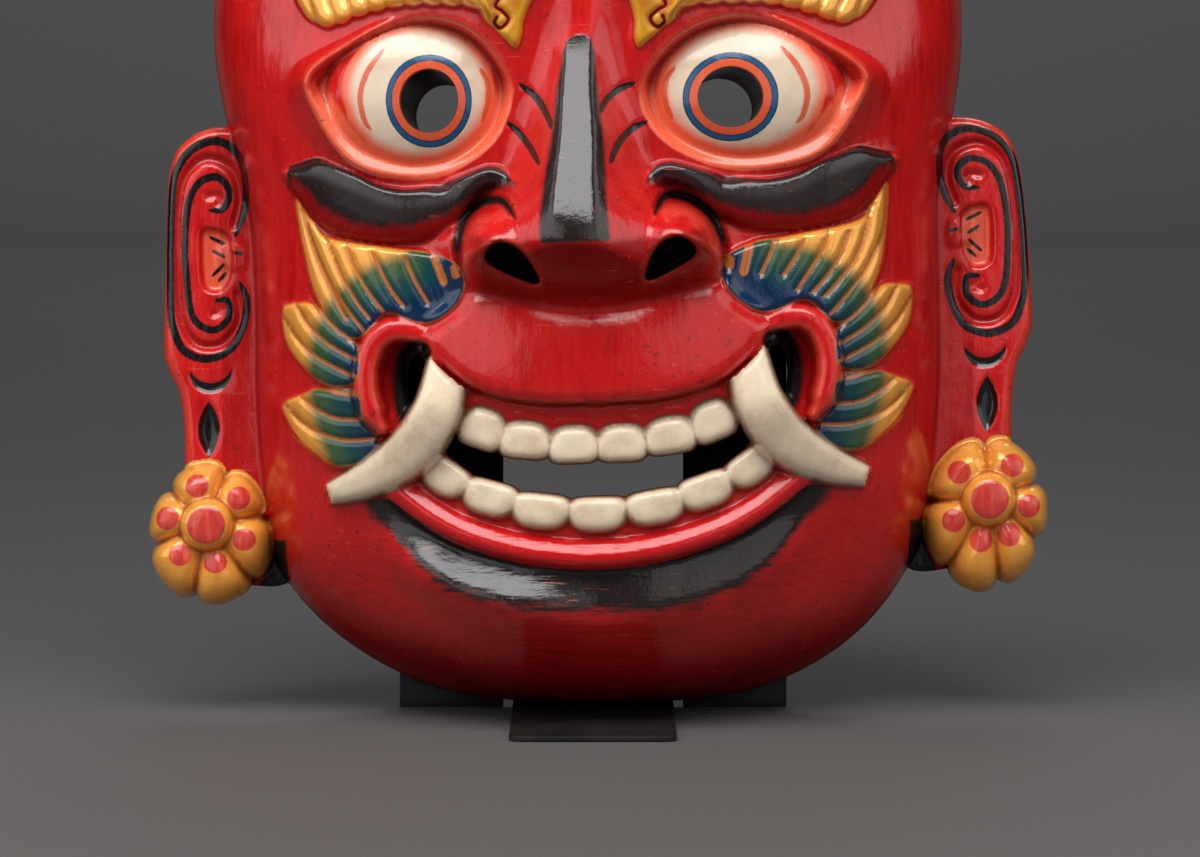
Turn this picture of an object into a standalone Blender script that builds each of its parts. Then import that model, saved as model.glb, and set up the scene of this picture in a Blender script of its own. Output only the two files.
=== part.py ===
"""Carved festival mask on its bent sheet stand, as faceted solids.

The relief is worked out in millimetres on the mask's own plane: `s` is the distance from the
centre line, `t` the height above the chin, and the result is how far the carving stands out
from the flat back rim.  `place` turns it into metres, +Z up, the face towards -Y.
"""
import math

import bpy
import numpy as np

# ---------------------------------------------------------------- driving dimensions
MM = 0.001
LEAN = math.radians(5.0)          # backward lean of mask and panel
FIT_GAP = 0.3                     # gap between the mask and the sheet
GRID_STEP = 2.4                   # spacing of the carving grid before it is thinned
GRID_WIDTH = 234.0                # half width and height range that the grid covers
GRID_RANGE = (-6.0, 510.0)
MASK_TRIANGLES = 9400             # faces kept in the mask

DOME_HEIGHT = 109.0               # rim to the plain face
DOME_POWER = 3.0
DOME_MIDDLE = 250.0               # height of the dome's middle
RIM_EDGE = 3.0
HOLLOW_HEIGHT = 96.0              # depth of the hollow back
HOLLOW_SHARE = 0.92               # hollow width as a share of the head
LEAST_WALL = 5.0                  # wood left between the carving and the hollow
TUNNEL = {-1: (7.5, 6.5), 1: (5.0, 4.5)}   # eye holes, by side: slant to the nose and down
TUNNEL_BLEND = 46.0               # radius in which the back moves with the slant

SHEET = 3.0                       # stand: thickness of the steel sheet
PANEL_WIDTH = 198.0
PANEL_HEIGHT = 250.0
PANEL_MIDDLE = 2.5                # stand centre, across
PANEL_SETBACK = 2.3               # clear space between rim and panel
WINDOW_WIDTH = 92.0
WINDOW_BOTTOM = 12.0
WINDOW_TOP = 142.0
TONGUE_WIDTH = 82.0
TONGUE_LENGTH = 127.0
TONGUE_CORNER = 5.0
BEND_RADIUS = 2.0
REAR = TONGUE_LENGTH / 2.0        # outer face of the panel's bend, behind the origin

# Outlines on the plane (s, t), centre line outwards
HEAD = [(0, 503), (92, 492), (142, 463), (174, 420), (187.5, 377), (190.5, 335), (184, 290),
        (177, 252), (175.5, 204), (175, 153), (169.5, 98), (157, 63), (129, 32), (89, 9.5), (45, 0.8)]
EAR = [(160, 285), (176, 293), (190, 295), (203, 291), (213, 281), (217.5, 258), (220.5, 192),
       (218, 176), (212.5, 163), (210, 140), (209, 95), (200, 76), (186, 66), (172, 62.5),
       (158, 64), (145, 78), (145, 270)]
EYE = [(139, 309.5), (116, 330), (85, 342.5), (53, 335), (32.5, 310), (38, 284), (60, 266),
       (90, 262), (121, 273.5)]
EYEBALL = (79.5, 304.5, 48.0, 38.5)      # middle and half sizes
PUPIL = (74.0, 300.5, 15.3)              # middle and radius
BROW = [(44, 340), (54, 345), (84, 347), (110, 342.5), (124, 338), (135, 341), (145, 356),
        (151, 376), (136, 388), (100, 386), (70, 373), (50, 357)]
SASH = [(151, 270), (142, 265), (125, 256), (104, 248.5), (84, 246), (67, 250), (54, 260.5),
        (42, 263.5), (32, 257), (29, 249)]
SASH_WIDTH = [1.5, 11, 16, 15.5, 12.5, 10.5, 6.5, 6, 5, 1]
MUZZLE = [(84, 181), (85, 187), (77, 193.5), (68, 200), (60, 209), (40, 208), (0, 201)]
LIP_EDGE = [(0, 149.5), (27, 150.3), (47.5, 154), (62, 159.5), (75.6, 170), (84, 181)]
FAN = [(149, 258), (140, 246), (129, 237), (97, 231), (80, 228), (66, 222), (62.5, 212),
       (67, 202), (78, 194), (88, 193.5), (103, 198), (119, 186), (136, 191), (145, 218)]
MIDDLE_TUFT = [(160, 206), (148, 206.5), (134, 202), (121, 186), (118, 168), (124, 161),
               (141, 164), (153, 180)]
LOW_TUFT = [(159, 159), (148, 163), (134, 166), (119, 162), (113, 146), (110, 132), (122, 122),
            (136, 122), (150, 136)]
RING = [(84, 187), (93, 190.5), (102, 190), (109.5, 184), (113.5, 173), (113.5, 160), (109, 147),
        (101, 136)]
RING_HOLE = [(84.5, 170), (90, 180), (97.5, 175), (99, 163), (95, 151), (91, 147)]
FANG = [(74, 171), (79, 150), (92, 131), (112, 118.5), (136, 110)]
FANG_WIDTH = [11.0, 13.0, 13.0, 9.6, 4.8]
MOUTH_TOP = [(0, 123.5), (24, 125.5), (46, 131), (62, 137.5), (72, 141)]
MOUTH_LOW = [(76, 131), (70, 125), (53, 113.5), (28, 106.5), (0, 104.5)]
LOWER_LIP = [(0, 77), (22, 78.5), (41.6, 82.2), (65, 90), (83, 100), (99, 112.5)]
LIP_HALF = 7.2
NOSTRIL = [(50.5, 222), (47, 229), (39, 229.5), (31, 223), (26, 211), (36, 213.5)]
HOOK = [(63, 212), (65.5, 226), (62, 240), (56, 248), (48, 252), (39.5, 251), (34, 242)]
HOOK_WIDTH = [0.5, 2, 3, 3.2, 3.2, 2.6, 0.8]
ORNAMENT_ARCH = [(29.5, 322), (32.5, 334), (29, 346), (17, 355), (0, 359)]
FLOWER = (197.0, 90.5, 31.5, 38.5)       # middle and half sizes
FLOWER_DISC = (197.0, 97.0, 13.5)        # middle and radius
PETALS = 6
EAR_OUTER = [(180, 243), (177, 262), (184, 281), (198, 285), (209, 276), (212.5, 250), (213, 205),
             (207, 190), (195, 186), (184, 190), (178, 204), (178, 222)]
EAR_INNER = [(192, 262), (187, 267), (187, 274), (197, 276), (204, 262), (205, 235), (203, 210),
             (196, 200), (187, 201), (185, 208), (190, 212)]
UPPER_TEETH = [(11.8, 131.8, 12.2, 9.8, 0.0), (35.4, 134.8, 12.2, 9.6, 0.12),
               (56.0, 141.2, 10.6, 10.2, 0.36)]   # middle, half sizes, turn
LOWER_TEETH = [(0.0, 96.8, 14.4, 8.6, 0.0), (28.2, 99.3, 14.2, 8.6, 0.14),
               (53.0, 106.4, 13.4, 8.6, 0.30), (74.5, 117.0, 11.5, 8.4, 0.62)]
NONE = -400.0                            # height of "nothing here"
PAST_CENTRE = 30.0                       # how far a closed outline runs over the centre line

# Heights over the rim plane, and sizes of the relief
BROW_RISE = 7.5
STRAND_PITCH = 9.6
LID_HEIGHT = 111.0
EYEBALL_HEIGHT = (98.0, 22.0)            # edge, and bulge over it
SASH_RISE = 8.5
LIP_SWELL = 131.5
FEATHER_RISE = 6.0
ROLL_HALF = 5.2                          # rolled rim at the mouth's corner
ROLL_HEIGHT = 111.0
UPPER_GUM = 120.5
LOWER_GUM = 106.5
LOWER_LIP_HEIGHT = 108.0
TEETH_HEIGHT = (113.5, 110.5)            # upper and lower row
FANG_CREST = [124.0, 128.0, 118.0, 102.0, 84.0]
FANG_CUT = (134.5, 110.0)                # point on the sawn-off tip
NOSE_TIP = (173.5, 229.0)                # height at the tip, and where
NOSE_SLOPE = 0.43
NOSE_FLAT = 8.5                          # half width of the flat ridge
NOSE_WING = (42.0, 224.0, 23.0, 25.0)
EAR_PLATE = (20.0, 8.0)                  # edge, and rise to the face
PETAL_HEIGHT = (16.0, 25.0)
DISC_HEIGHT = (39.0, 9.0)


# ---------------------------------------------------------------- curve and blend helpers
def smooth(x, low, high):
    k = np.clip((x - low) / (high - low), 0.0, 1.0)
    return k * k * (3.0 - 2.0 * k)


def soft_max(a, b, width):
    h = np.clip(0.5 + 0.5 * (a - b) / width, 0.0, 1.0)
    return b + (a - b) * h + width * h * (1.0 - h)


def soft_min(a, b, width):
    return -soft_max(-a, -b, width)


def arc(share):
    """Quarter-round height, 0 at 0 and 1 from 1 on."""
    return np.sqrt(1.0 - (1.0 - np.clip(share, 0.0, 1.0)) ** 2)


def cap(share):
    """Round cap over a distance share: 1 in the middle, 0 at 1."""
    return np.sqrt(np.clip(1.0 - share, 0.0, 1.0))


def spline(points, closed=False, steps=10):
    """Catmull-Rom line through the points."""
    pts = np.array(points, float)
    count = len(pts)
    if closed:
        order = [[(i + j) % count for j in (-1, 0, 1, 2)] for i in range(count)]
        ends = pts
    else:
        ends = np.vstack([2 * pts[0] - pts[1], pts, 2 * pts[-1] - pts[-2]])
        order = [[i, i + 1, i + 2, i + 3] for i in range(count - 1)]
    line = []
    for quad in order:
        p0, p1, p2, p3 = ends[quad]
        for u in np.arange(steps) / steps:
            line.append(0.5 * (2 * p1 + (p2 - p0) * u + (2 * p0 - 5 * p1 + 4 * p2 - p3) * u ** 2
                               + (3 * p1 - p0 - 3 * p2 + p3) * u ** 3))
    line.append(pts[0] if closed else pts[-1])
    return np.array(line)


def near(line, s, t, reach):
    """Distance to a line (at most `reach`) and the share of its length at the nearest point."""
    gap = np.full(s.shape, reach)
    along = np.zeros(s.shape)
    box = ((s > line[:, 0].min() - reach) & (s < line[:, 0].max() + reach)
           & (t > line[:, 1].min() - reach) & (t < line[:, 1].max() + reach))
    x, z = s[box], t[box]
    best, where = np.full(x.shape, reach), np.zeros(x.shape)
    step = line[1:] - line[:-1]
    size = np.hypot(step[:, 0], step[:, 1]) + 1e-9
    start = np.concatenate([[0.0], np.cumsum(size)])
    for (ax, az), (dx, dz), length, begun in zip(line[:-1], step, size, start):
        k = np.clip(((x - ax) * dx + (z - az) * dz) / length ** 2, 0.0, 1.0)
        d = np.hypot(x - ax - k * dx, z - az - k * dz)
        closer = d < best
        best = np.where(closer, d, best)
        where = np.where(closer, (begun + k * length) / start[-1], where)
    gap[box], along[box] = best, where
    return gap, along


def within(line, s, t, reach=30.0):
    """Signed distance to a closed line, positive inside, no further than `reach`."""
    gap = near(line, s, t, reach)[0]
    odd = np.zeros(s.shape, bool)
    for (s0, t0), (s1, t1) in zip(line[:-1], line[1:]):
        if t0 != t1:
            crosses = (t0 > t) != (t1 > t)
            odd ^= crosses & (s < (s1 - s0) * (t - t0) / (t1 - t0) + s0)
    return np.where(odd, gap, -gap)


def across(upper, lower):
    """Closed line over the centre from a line outwards and a line back inwards."""
    beyond = [(-PAST_CENTRE, lower[-1][1]), (-PAST_CENTRE, upper[0][1])]
    return np.vstack([upper, lower, beyond, upper[:1]])


def along_line(values, along):
    """Smooth value at a share of the way along, from values at even steps."""
    curve = spline(list(enumerate(values)))
    return np.interp(along * (len(values) - 1), curve[:, 0], curve[:, 1])


def swelling(points, widths, s, t, reach=24.0):
    """Distance to a line as a share of the half width there, and the share along."""
    gap, along = near(spline(points), s, t, reach)
    return gap / along_line(widths, along), along


# ---------------------------------------------------------------- the face, plain form
HEAD_LINE = spline(HEAD + [(0, 0)] + [(-x, z) for x, z in HEAD[:0:-1]], closed=True)


def head_ratio(s, t):
    """0 in the dome's middle, 1 on the head outline."""
    line = HEAD_LINE[HEAD_LINE[:, 0] >= -1e-6]
    angle = np.arctan2(line[:, 1] - DOME_MIDDLE, line[:, 0])
    order = np.argsort(angle)
    reach = np.hypot(line[:, 0], line[:, 1] - DOME_MIDDLE)[order]
    here = np.arctan2(t - DOME_MIDDLE, s)
    return np.hypot(s, t - DOME_MIDDLE) / np.interp(here, angle[order], reach)


def dome(ratio, height):
    return height * cap(ratio ** DOME_POWER)


def plain_face(s, t):
    """Dome with chin, forehead, cheeks and the swelling behind the mouth."""
    p = RIM_EDGE + dome(head_ratio(s, t), DOME_HEIGHT)
    out = (s / 128.0) ** 2 + ((t - 79.5) / 79.0) ** 2
    p = soft_max(p, np.where(out < 1.0, 26.0 + 81.0 * cap(out), NONE), 14.0)
    p = p + 24.0 * np.exp(-(s / 95.0) ** 2 - ((t - 378.0) / 62.0) ** 2)
    p = p + 9.0 * np.exp(-((s - 118.0) / 34.0) ** 2 - ((t - 215.0) / 60.0) ** 2)
    return p + 9.0 * np.exp(-(s / 78.0) ** 2 - ((t - 118.0) / 34.0) ** 2)


# ---------------------------------------------------------------- carved features
def brow(p, s, t):
    deep = within(spline(BROW, closed=True), s, t)
    strand = np.abs(np.mod((s - 0.42 * (t - 345.0)) / STRAND_PITCH, 1.0) - 0.5) * 2.0
    carved = p + BROW_RISE * arc(deep / 7.0) - 2.6 * strand ** 4 * smooth(deep, 0.0, 3.0)
    return np.where(deep > 0.0, carved, p)


def eye(p, s, t):
    """Lid rim falling inwards to a bulging eyeball."""
    deep = within(spline(EYE, closed=True), s, t)
    p = p + 3.0 * smooth(deep, -26.0, -2.0) * smooth(t, 250.0, 300.0)
    upper = smooth(t, 296.0, 316.0)
    lid = LID_HEIGHT + 3.0 * upper - 4.5 * smooth(s, 95.0, 139.0)
    inner = lid - 0.02 * (deep - 2.0) ** 2 - (1.1 + 0.7 * upper) * np.clip(deep - 2.5, 0.0, None)
    outer = np.where(deep > -12.0, lid - 2.0 + 1.9 * deep * (1.0 + 0.3 * upper), NONE)
    ball = ((s - EYEBALL[0]) / EYEBALL[2]) ** 2 + ((t - EYEBALL[1]) / EYEBALL[3]) ** 2
    edge, bulge = EYEBALL_HEIGHT
    floor = np.maximum(np.where(ball < 1.0, edge + bulge * cap(ball), NONE),
                       np.where(deep > 4.0, 99.5, NONE))
    inner = soft_max(inner, floor, 1.6)
    return np.where(deep > 2.5, inner, soft_max(p, np.where(deep > 0.0, inner, outer), 2.5))


def sash(p, s, t):
    share, _ = swelling(SASH, SASH_WIDTH, s, t)
    return np.where(share < 1.0, p + 2.0 + SASH_RISE * cap(share ** 2), p)


def muzzle(p, s, t):
    lip = np.interp(s, *np.array(spline(LIP_EDGE)).T)
    swell = LIP_SWELL - 0.0017 * s ** 2 - 0.0024 * (t - 178.0) ** 2
    side = within(across(spline(LIP_EDGE), spline(MUZZLE)), s, t)
    body = np.where(side > -16.0, swell - 0.055 * np.clip(9.0 - side, 0.0, None) ** 2, NONE)
    edge = np.where(t > lip, swell - 4.0 * (1.0 - arc((t - lip) / 5.0)), NONE)
    return np.where((t > lip - 0.01) & (s < 86.0), soft_max(p, np.minimum(body, edge), 5.0), p)


def feathers(p, s, t):
    """Three tufts of ribbed blades round the corner of the mouth."""
    deep = np.full(s.shape, -30.0)
    for tuft in (FAN, MIDDLE_TUFT, LOW_TUFT):
        deep = np.maximum(deep, within(spline(tuft, closed=True), s, t))
    lines = []
    for k in np.linspace(0.0, 1.0, 8):
        top = np.array([141.0 - 66.0 * k, 245.0 - 18.0 * k + 5.0 * k * k])
        root = np.array([121.0 - 40.0 * k, 186.0 + 24.0 * k])
        lines.append([top, (top + root) / 2.0 - [2.0 + 3.0 * (1.0 - k), 5.0 * (1.0 - k)], root])
    for k in (0.0, 1.0):
        lines.append([(152 - 10 * k, 205), (141 - 6 * k, 186 + 6 * k), (121, 172 + 7 * k)])
        lines.append([(153 - 10 * k, 160 + 4 * k), (139 - 6 * k, 147 + 8 * k), (117, 140 + 10 * k)])
    groove = np.full(s.shape, 9.0)
    for line in lines:
        groove = np.minimum(groove, near(spline(line), s, t, 9.0)[0])
    carved = p + FEATHER_RISE * arc(deep / 3.5) - 3.0 * np.exp(-(groove / 2.4) ** 2)
    return np.where(deep > 0.0, carved, p)


def corner_ring(p, s, t):
    """Rolled rim round the corner of the mouth, with a funnel inside."""
    cup = within(spline(RING[:-1] + [(100, 134), (84, 150), (82, 170)], closed=True), s, t)
    p = np.where(cup > 0.0, np.minimum(p, ROLL_HEIGHT + 1.0 - 2.2 * np.abs(cup)), p)
    roll = near(spline(RING), s, t, 16.0)[0] / ROLL_HALF
    return np.maximum(p, np.where(roll < 1.0, ROLL_HEIGHT + 4.5 * cap(roll ** 2), NONE))


def gums(p, s, t):
    lip = np.interp(s, *np.array(spline(LIP_EDGE)).T)
    upper = within(across(spline(LIP_EDGE[:-1]), spline([(78, 155)] + MOUTH_TOP[::-1])), s, t)
    p = np.where(upper > -1.0, UPPER_GUM - 0.0012 * s ** 2 - 0.42 * np.clip(lip - t, 0.0, None), p)
    low = [(96, 116), (86, 127), (78, 131)] + MOUTH_LOW[1:]
    lower = within(across(spline(LOWER_LIP), spline(low)), s, t)
    return np.where(lower > -1.0, LOWER_GUM - 0.0011 * s ** 2, p)


def lower_lip(p, s, t):
    share = near(spline([(-40, 82)] + LOWER_LIP), s, t, 20.0)[0] / LIP_HALF
    roll = LOWER_LIP_HEIGHT - 0.0012 * s ** 2 + 8.5 * cap(share ** 2)
    return np.maximum(p, np.where(share < 1.0, roll, NONE))


def tooth_share(s, t, row):
    """Smallest super-ellipse value over a row of teeth, below 1 on a tooth."""
    best = np.full(s.shape, 9.0)
    for middle, height, half, tall, turn in row:
        x, z = s - middle, t - height
        u = (x * math.cos(turn) + z * math.sin(turn)) / half
        v = (z * math.cos(turn) - x * math.sin(turn)) / tall
        best = np.minimum(best, np.abs(u) ** 2.8 + np.abs(v) ** 2.6)
        if middle > 0.0:
            u = ((-s - middle) * math.cos(turn) + z * math.sin(turn)) / half
            v = (z * math.cos(turn) - (-s - middle) * math.sin(turn)) / tall
            best = np.minimum(best, np.abs(u) ** 2.8 + np.abs(v) ** 2.6)
    return best


def teeth(p, s, t):
    for row, height in zip((UPPER_TEETH, LOWER_TEETH), TEETH_HEIGHT):
        share = tooth_share(s, t, row)
        p = np.maximum(p, np.where(share < 1.1, height - 0.0012 * s ** 2 + 7.5 * cap(share), NONE))
    return p


def fang_share(s, t):
    share, along = swelling(FANG, FANG_WIDTH, s, t)
    cut = (s - FANG_CUT[0]) + 0.35 * (t - FANG_CUT[1])
    lip = np.interp(s, *np.array(spline(LIP_EDGE)).T)
    share = np.where((cut > 0.0) | ((t > lip) & (s < 84.0)), 9.0, share)
    return share, along


def fang(p, s, t):
    share, along = fang_share(s, t)
    crest = along_line(FANG_CREST, along)
    return np.maximum(p, np.where(share < 1.0, crest - 11.0 + 11.0 * cap(share ** 2), NONE))


def nose(p, s, t):
    """Flat-topped ridge, two wings and the slanting underside with its nostrils."""
    ridge = NOSE_TIP[0] - NOSE_SLOPE * (t - NOSE_TIP[1]) - 6.0 * np.clip(t - 352.0, 0.0, None)
    out = np.clip(s - NOSE_FLAT + 2.5 * smooth(t, 240.0, 330.0), 0.0, None)
    fall = 1.9 - 0.95 * smooth(t, 275.0, 232.0) - 0.5 * smooth(t, 300.0, 345.0)
    body = ridge - fall * (np.sqrt(out ** 2 + 16.0) - 4.0)
    wing = ((s - NOSE_WING[0]) / NOSE_WING[2]) ** 2 + ((t - NOSE_WING[1]) / NOSE_WING[3]) ** 2
    body = soft_max(body, np.where(wing < 1.0, 112.0 + 44.0 * cap(wing), NONE), 8.0)
    round_s = np.sqrt(s ** 2 + 400.0) - 20.0
    under = 136.0 - 0.33 * round_s + (t - 203.0 - 0.0018 * s ** 2) * 1.38
    p = np.where(t > 194.0, soft_max(p, soft_min(body, under, 3.0), 5.0), p)
    deep = within(spline(NOSTRIL, closed=True), s, t)
    p = np.where(deep > 0.0, p - 16.0 * arc(deep / 3.0), p)
    hook, _ = swelling(HOOK, HOOK_WIDTH, s, t, 8.0)
    return p - 5.0 * np.clip(1.0 - hook ** 2, 0.0, 1.0)


def ornament(p, s, t):
    arch, _ = near(spline(ORNAMENT_ARCH), s, t, 12.0)
    curl = np.hypot(s - 42.0, t - 343.0)
    flame = 11.0 - np.hypot(s, (t - 372.0) * 0.55)
    deep = np.maximum(np.maximum(3.4 - arch, 9.5 - curl), flame)
    return np.where(deep > 0.0, p + 4.5 * arc(deep / 2.5), p)


def ear(p, s, t):
    deep = within(spline(EAR, closed=True), s, t)
    plate = np.where(t > 100.0, EAR_PLATE[0] + EAR_PLATE[1] * arc(deep / 3.5), 12.0)
    outer, _ = near(spline(EAR_OUTER), s, t, 12.0)
    inner, _ = near(spline(EAR_INNER), s, t, 12.0)
    sunk = within(spline(EAR_OUTER, closed=True), s, t) > 0.0
    plate = plate - np.where(sunk, 3.5 * smooth(outer, 2.0, 5.0), 0.0)
    plate = plate + np.where(sunk, 3.5 * smooth(inner, 4.5, 2.0), 0.0)
    return np.maximum(p, np.where(deep > -1.0, plate, NONE))


def flower_share(s, t):
    """Distance from the flower's middle as a share of its lobed edge, and the petal share."""
    x, z = (s - FLOWER[0]) / FLOWER[2], (t - FLOWER[1]) / FLOWER[3]
    turn = np.arctan2(x, z) / (2.0 * math.pi) * PETALS - 0.22
    lobe = np.abs(np.mod(turn, 1.0) - 0.5) * 2.0        # 1 in a petal's middle, 0 between
    return np.hypot(x, z) / (1.0 - 0.12 * (1.0 - lobe) ** 2.5), lobe


def flower(p, s, t):
    share, lobe = flower_share(s, t)
    low, rise = PETAL_HEIGHT
    petal = low + rise * cap(share ** 3) - 4.5 * (1.0 - lobe) ** 5 * smooth(share, 0.3, 0.5)
    p = np.maximum(p, np.where(share < 1.03, petal, NONE))
    disc = np.hypot(s - FLOWER_DISC[0], t - FLOWER_DISC[1]) / FLOWER_DISC[2]
    low, rise = DISC_HEIGHT
    return np.maximum(p, np.where(disc < 1.0, low + rise * cap(disc ** 2), NONE))


def front(s, t):
    """Height of the carved front over the plane of the rim."""
    p = plain_face(s, t)
    for carve in (brow, eye, sash, muzzle, feathers, corner_ring, gums, lower_lip, teeth, fang,
                  nose, ornament, ear, flower):
        p = carve(p, s, t)
    return p


def back(s, t):
    """Depth of the hollow behind the face."""
    return dome(np.minimum(head_ratio(s, t) / HOLLOW_SHARE, 1.0), HOLLOW_HEIGHT)


def wood(s, t):
    """Signed distance into the wood on the plane: outline less the openings."""
    body = np.maximum(within(HEAD_LINE, s, t, 60.0), within(spline(EAR, closed=True), s, t))
    body = np.maximum(body, 30.0 * (1.0 - flower_share(s, t)[0]))
    tooth = np.minimum(tooth_share(s, t, UPPER_TEETH), tooth_share(s, t, LOWER_TEETH))
    solid = np.maximum(9.0 * (1.0 - np.sqrt(tooth)), 12.0 * (1.0 - fang_share(s, t)[0]))
    mouth = within(across(spline(MOUTH_TOP), spline(MOUTH_LOW)), s, t)
    corner = within(spline(RING_HOLE, closed=True), s, t)
    gap = np.maximum(np.minimum(np.maximum(mouth, corner), -solid),
                     PUPIL[2] - np.hypot(s - PUPIL[0], t - PUPIL[1]))
    return np.minimum(body, -gap)


# ---------------------------------------------------------------- meshes
def skew(x, t):
    """The carver's slight drift of the centre line and tilt of the features."""
    u, w = x.copy(), t.copy()
    for _ in range(3):
        drift = 5.0 * (1.0 - smooth(w, 200.0, 360.0))
        drift = drift - 8.5 * np.exp(-((w - 285.0) / 70.0) ** 2) * np.exp(-(u / 120.0) ** 2)
        tilt = 0.033 * smooth(w, 15.0, 90.0) - 0.025 * smooth(w, 240.0, 320.0)
        u, w = x + drift, t + tilt * x
    return u, w


def place(u, w, p):
    """Mask plane (millimetres) to the part's frame (metres)."""
    setback = PANEL_SETBACK + SHEET
    y = w * math.sin(LEAN) - p * math.cos(LEAN) + REAR - setback / math.cos(LEAN)
    z = w * math.cos(LEAN) + p * math.sin(LEAN) + SHEET + FIT_GAP
    return np.stack([u, y, z], axis=-1) * MM


def cut_sheet(step):
    """Triangles over the wood on the mask plane, edge points moved on to its outline."""
    half = np.arange(0.0, GRID_WIDTH, step)
    rows = np.arange(*GRID_RANGE, step)
    s, t = np.meshgrid(half, rows)
    d = wood(s, t)
    x = np.hstack([-s[:, :0:-1], s])
    z = np.hstack([t[:, :0:-1], t])
    d = np.hstack([d[:, :0:-1], d])
    dz, dx = np.gradient(d, step)
    size = np.hypot(dx, dz) + 1e-6
    close = (np.abs(d) < 0.35 * step) & (size > 0.5)
    x = np.where(close, x - d * dx / size ** 2, x)
    z = np.where(close, z - d * dz / size ** 2, z)
    d = np.where(close, 0.0, d)
    high, wide = d.shape
    index = np.arange(high * wide).reshape(high, wide)
    a, b, c, e = (index[:-1, :-1], index[:-1, 1:], index[1:, 1:], index[1:, :-1])
    odd = (np.add.outer(np.arange(high - 1), np.arange(wide - 1)) % 2).astype(bool)
    first = np.where(odd[..., None], np.stack([a, b, c], -1), np.stack([a, b, e], -1))
    second = np.where(odd[..., None], np.stack([a, c, e], -1), np.stack([b, c, e], -1))
    faces = np.vstack([first.reshape(-1, 3), second.reshape(-1, 3)])
    points = list(zip(x.ravel(), z.ravel()))
    depth = d.ravel()
    sign = np.sign(depth)[faces]
    kept = faces[(sign.min(axis=1) >= 0) & (sign.max(axis=1) > 0)].tolist()
    cuts = {}

    def crossing(i, j):
        key = (min(i, j), max(i, j))
        if key not in cuts:
            k = depth[i] / (depth[i] - depth[j])
            cuts[key] = len(points)
            points.append((points[i][0] + k * (points[j][0] - points[i][0]),
                           points[i][1] + k * (points[j][1] - points[i][1])))
        return cuts[key]

    for face in faces[(sign.min(axis=1) < 0) & (sign.max(axis=1) > 0)].tolist():
        loop = []
        for i, j in zip(face, face[1:] + face[:1]):
            if depth[i] >= 0:
                loop.append(i)
            if depth[i] * depth[j] < 0:
                loop.append(crossing(i, j))
        kept += [[loop[0], loop[k], loop[k + 1]] for k in range(1, len(loop) - 1)]
    used, kept = np.unique(np.array(kept), return_inverse=True)
    return np.array(points)[used], kept.reshape(-1, 3)


def mask_shell():
    """Points and faces of the closed mask: carved front, hollow back, walls at every edge."""
    flat, faces = cut_sheet(GRID_STEP)
    s, t = np.abs(flat[:, 0]), flat[:, 1]
    q = back(s, t)
    p = np.maximum(front(s, t), q + LEAST_WALL)
    u, w = skew(flat[:, 0], t)
    w = w - w.min()
    behind_u, behind_w = slanted_back(flat, u, w)
    points = np.vstack([place(u, w, p), place(behind_u, behind_w, q)])
    edges = np.sort(np.vstack([faces[:, [0, 1]], faces[:, [1, 2]], faces[:, [2, 0]]]), axis=1)
    turned = np.vstack([faces[:, [0, 1]], faces[:, [1, 2]], faces[:, [2, 0]]])
    _, first, count = np.unique(edges, axis=0, return_index=True, return_counts=True)
    rim = turned[first[count == 1]]
    n = len(flat)
    walls = np.vstack([np.stack([rim[:, 1], rim[:, 0], rim[:, 0] + n], axis=1),
                       np.stack([rim[:, 1], rim[:, 0] + n, rim[:, 1] + n], axis=1)])
    return points, np.vstack([faces, faces[:, ::-1] + n, walls])


def slanted_back(flat, u, w):
    """Back points moved round the eye holes, so the holes slant inwards and down."""
    for side, (inwards, down) in TUNNEL.items():
        far = np.hypot(flat[:, 0] - side * PUPIL[0], flat[:, 1] - PUPIL[1])
        share = smooth(far, TUNNEL_BLEND, PUPIL[2])
        u, w = u - side * inwards * share, w - down * share
    return u, w


def add_object(name, points, faces, material):
    mesh = bpy.data.meshes.new(name)
    mesh.from_pydata(points.tolist(), [], faces if isinstance(faces, list) else faces.tolist())
    mesh.validate()
    mesh.update()
    mesh.materials.append(material)
    item = bpy.data.objects.new(name, mesh)
    bpy.context.scene.collection.objects.link(item)
    return item


def principled(name, colour, roughness, metallic=0.0, coat=0.0):
    material = bpy.data.materials.new(name)
    material.use_nodes = True
    shader = material.node_tree.nodes["Principled BSDF"]
    shader.inputs["Base Color"].default_value = (*colour, 1.0)
    shader.inputs["Roughness"].default_value = roughness
    shader.inputs["Metallic"].default_value = metallic
    shader.inputs["Coat Weight"].default_value = coat
    return material


def build_mask():
    """The carved mask, thinned to a light faceted solid."""
    points, faces = mask_shell()
    item = add_object("mask", points, faces,
                      principled("painted_wood", (0.45, 0.02, 0.015), 0.28, coat=0.6))
    thin = item.modifiers.new("thin", "DECIMATE")
    thin.ratio = MASK_TRIANGLES / len(faces)
    return item


def stand_profile(inner):
    """Bent line of one face of the sheet, tongue tip to panel top, in the (y, z) plane."""
    radius = BEND_RADIUS + (0.0 if inner else SHEET)
    level = SHEET if inner else 0.0
    middle_y, middle_z = REAR - SHEET - BEND_RADIUS, SHEET + BEND_RADIUS
    line = [(-REAR, level), (-REAR + TONGUE_CORNER, level)]
    for turn in np.linspace(-math.pi / 2.0, -LEAN, 6):
        line.append((middle_y + radius * math.cos(turn), middle_z + radius * math.sin(turn)))
    start_y, start_z = line[-1]
    for height in (WINDOW_BOTTOM, WINDOW_TOP, PANEL_HEIGHT, 0.0):
        line.append((start_y + (height - start_z) * math.tan(LEAN), height))
    return line


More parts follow.
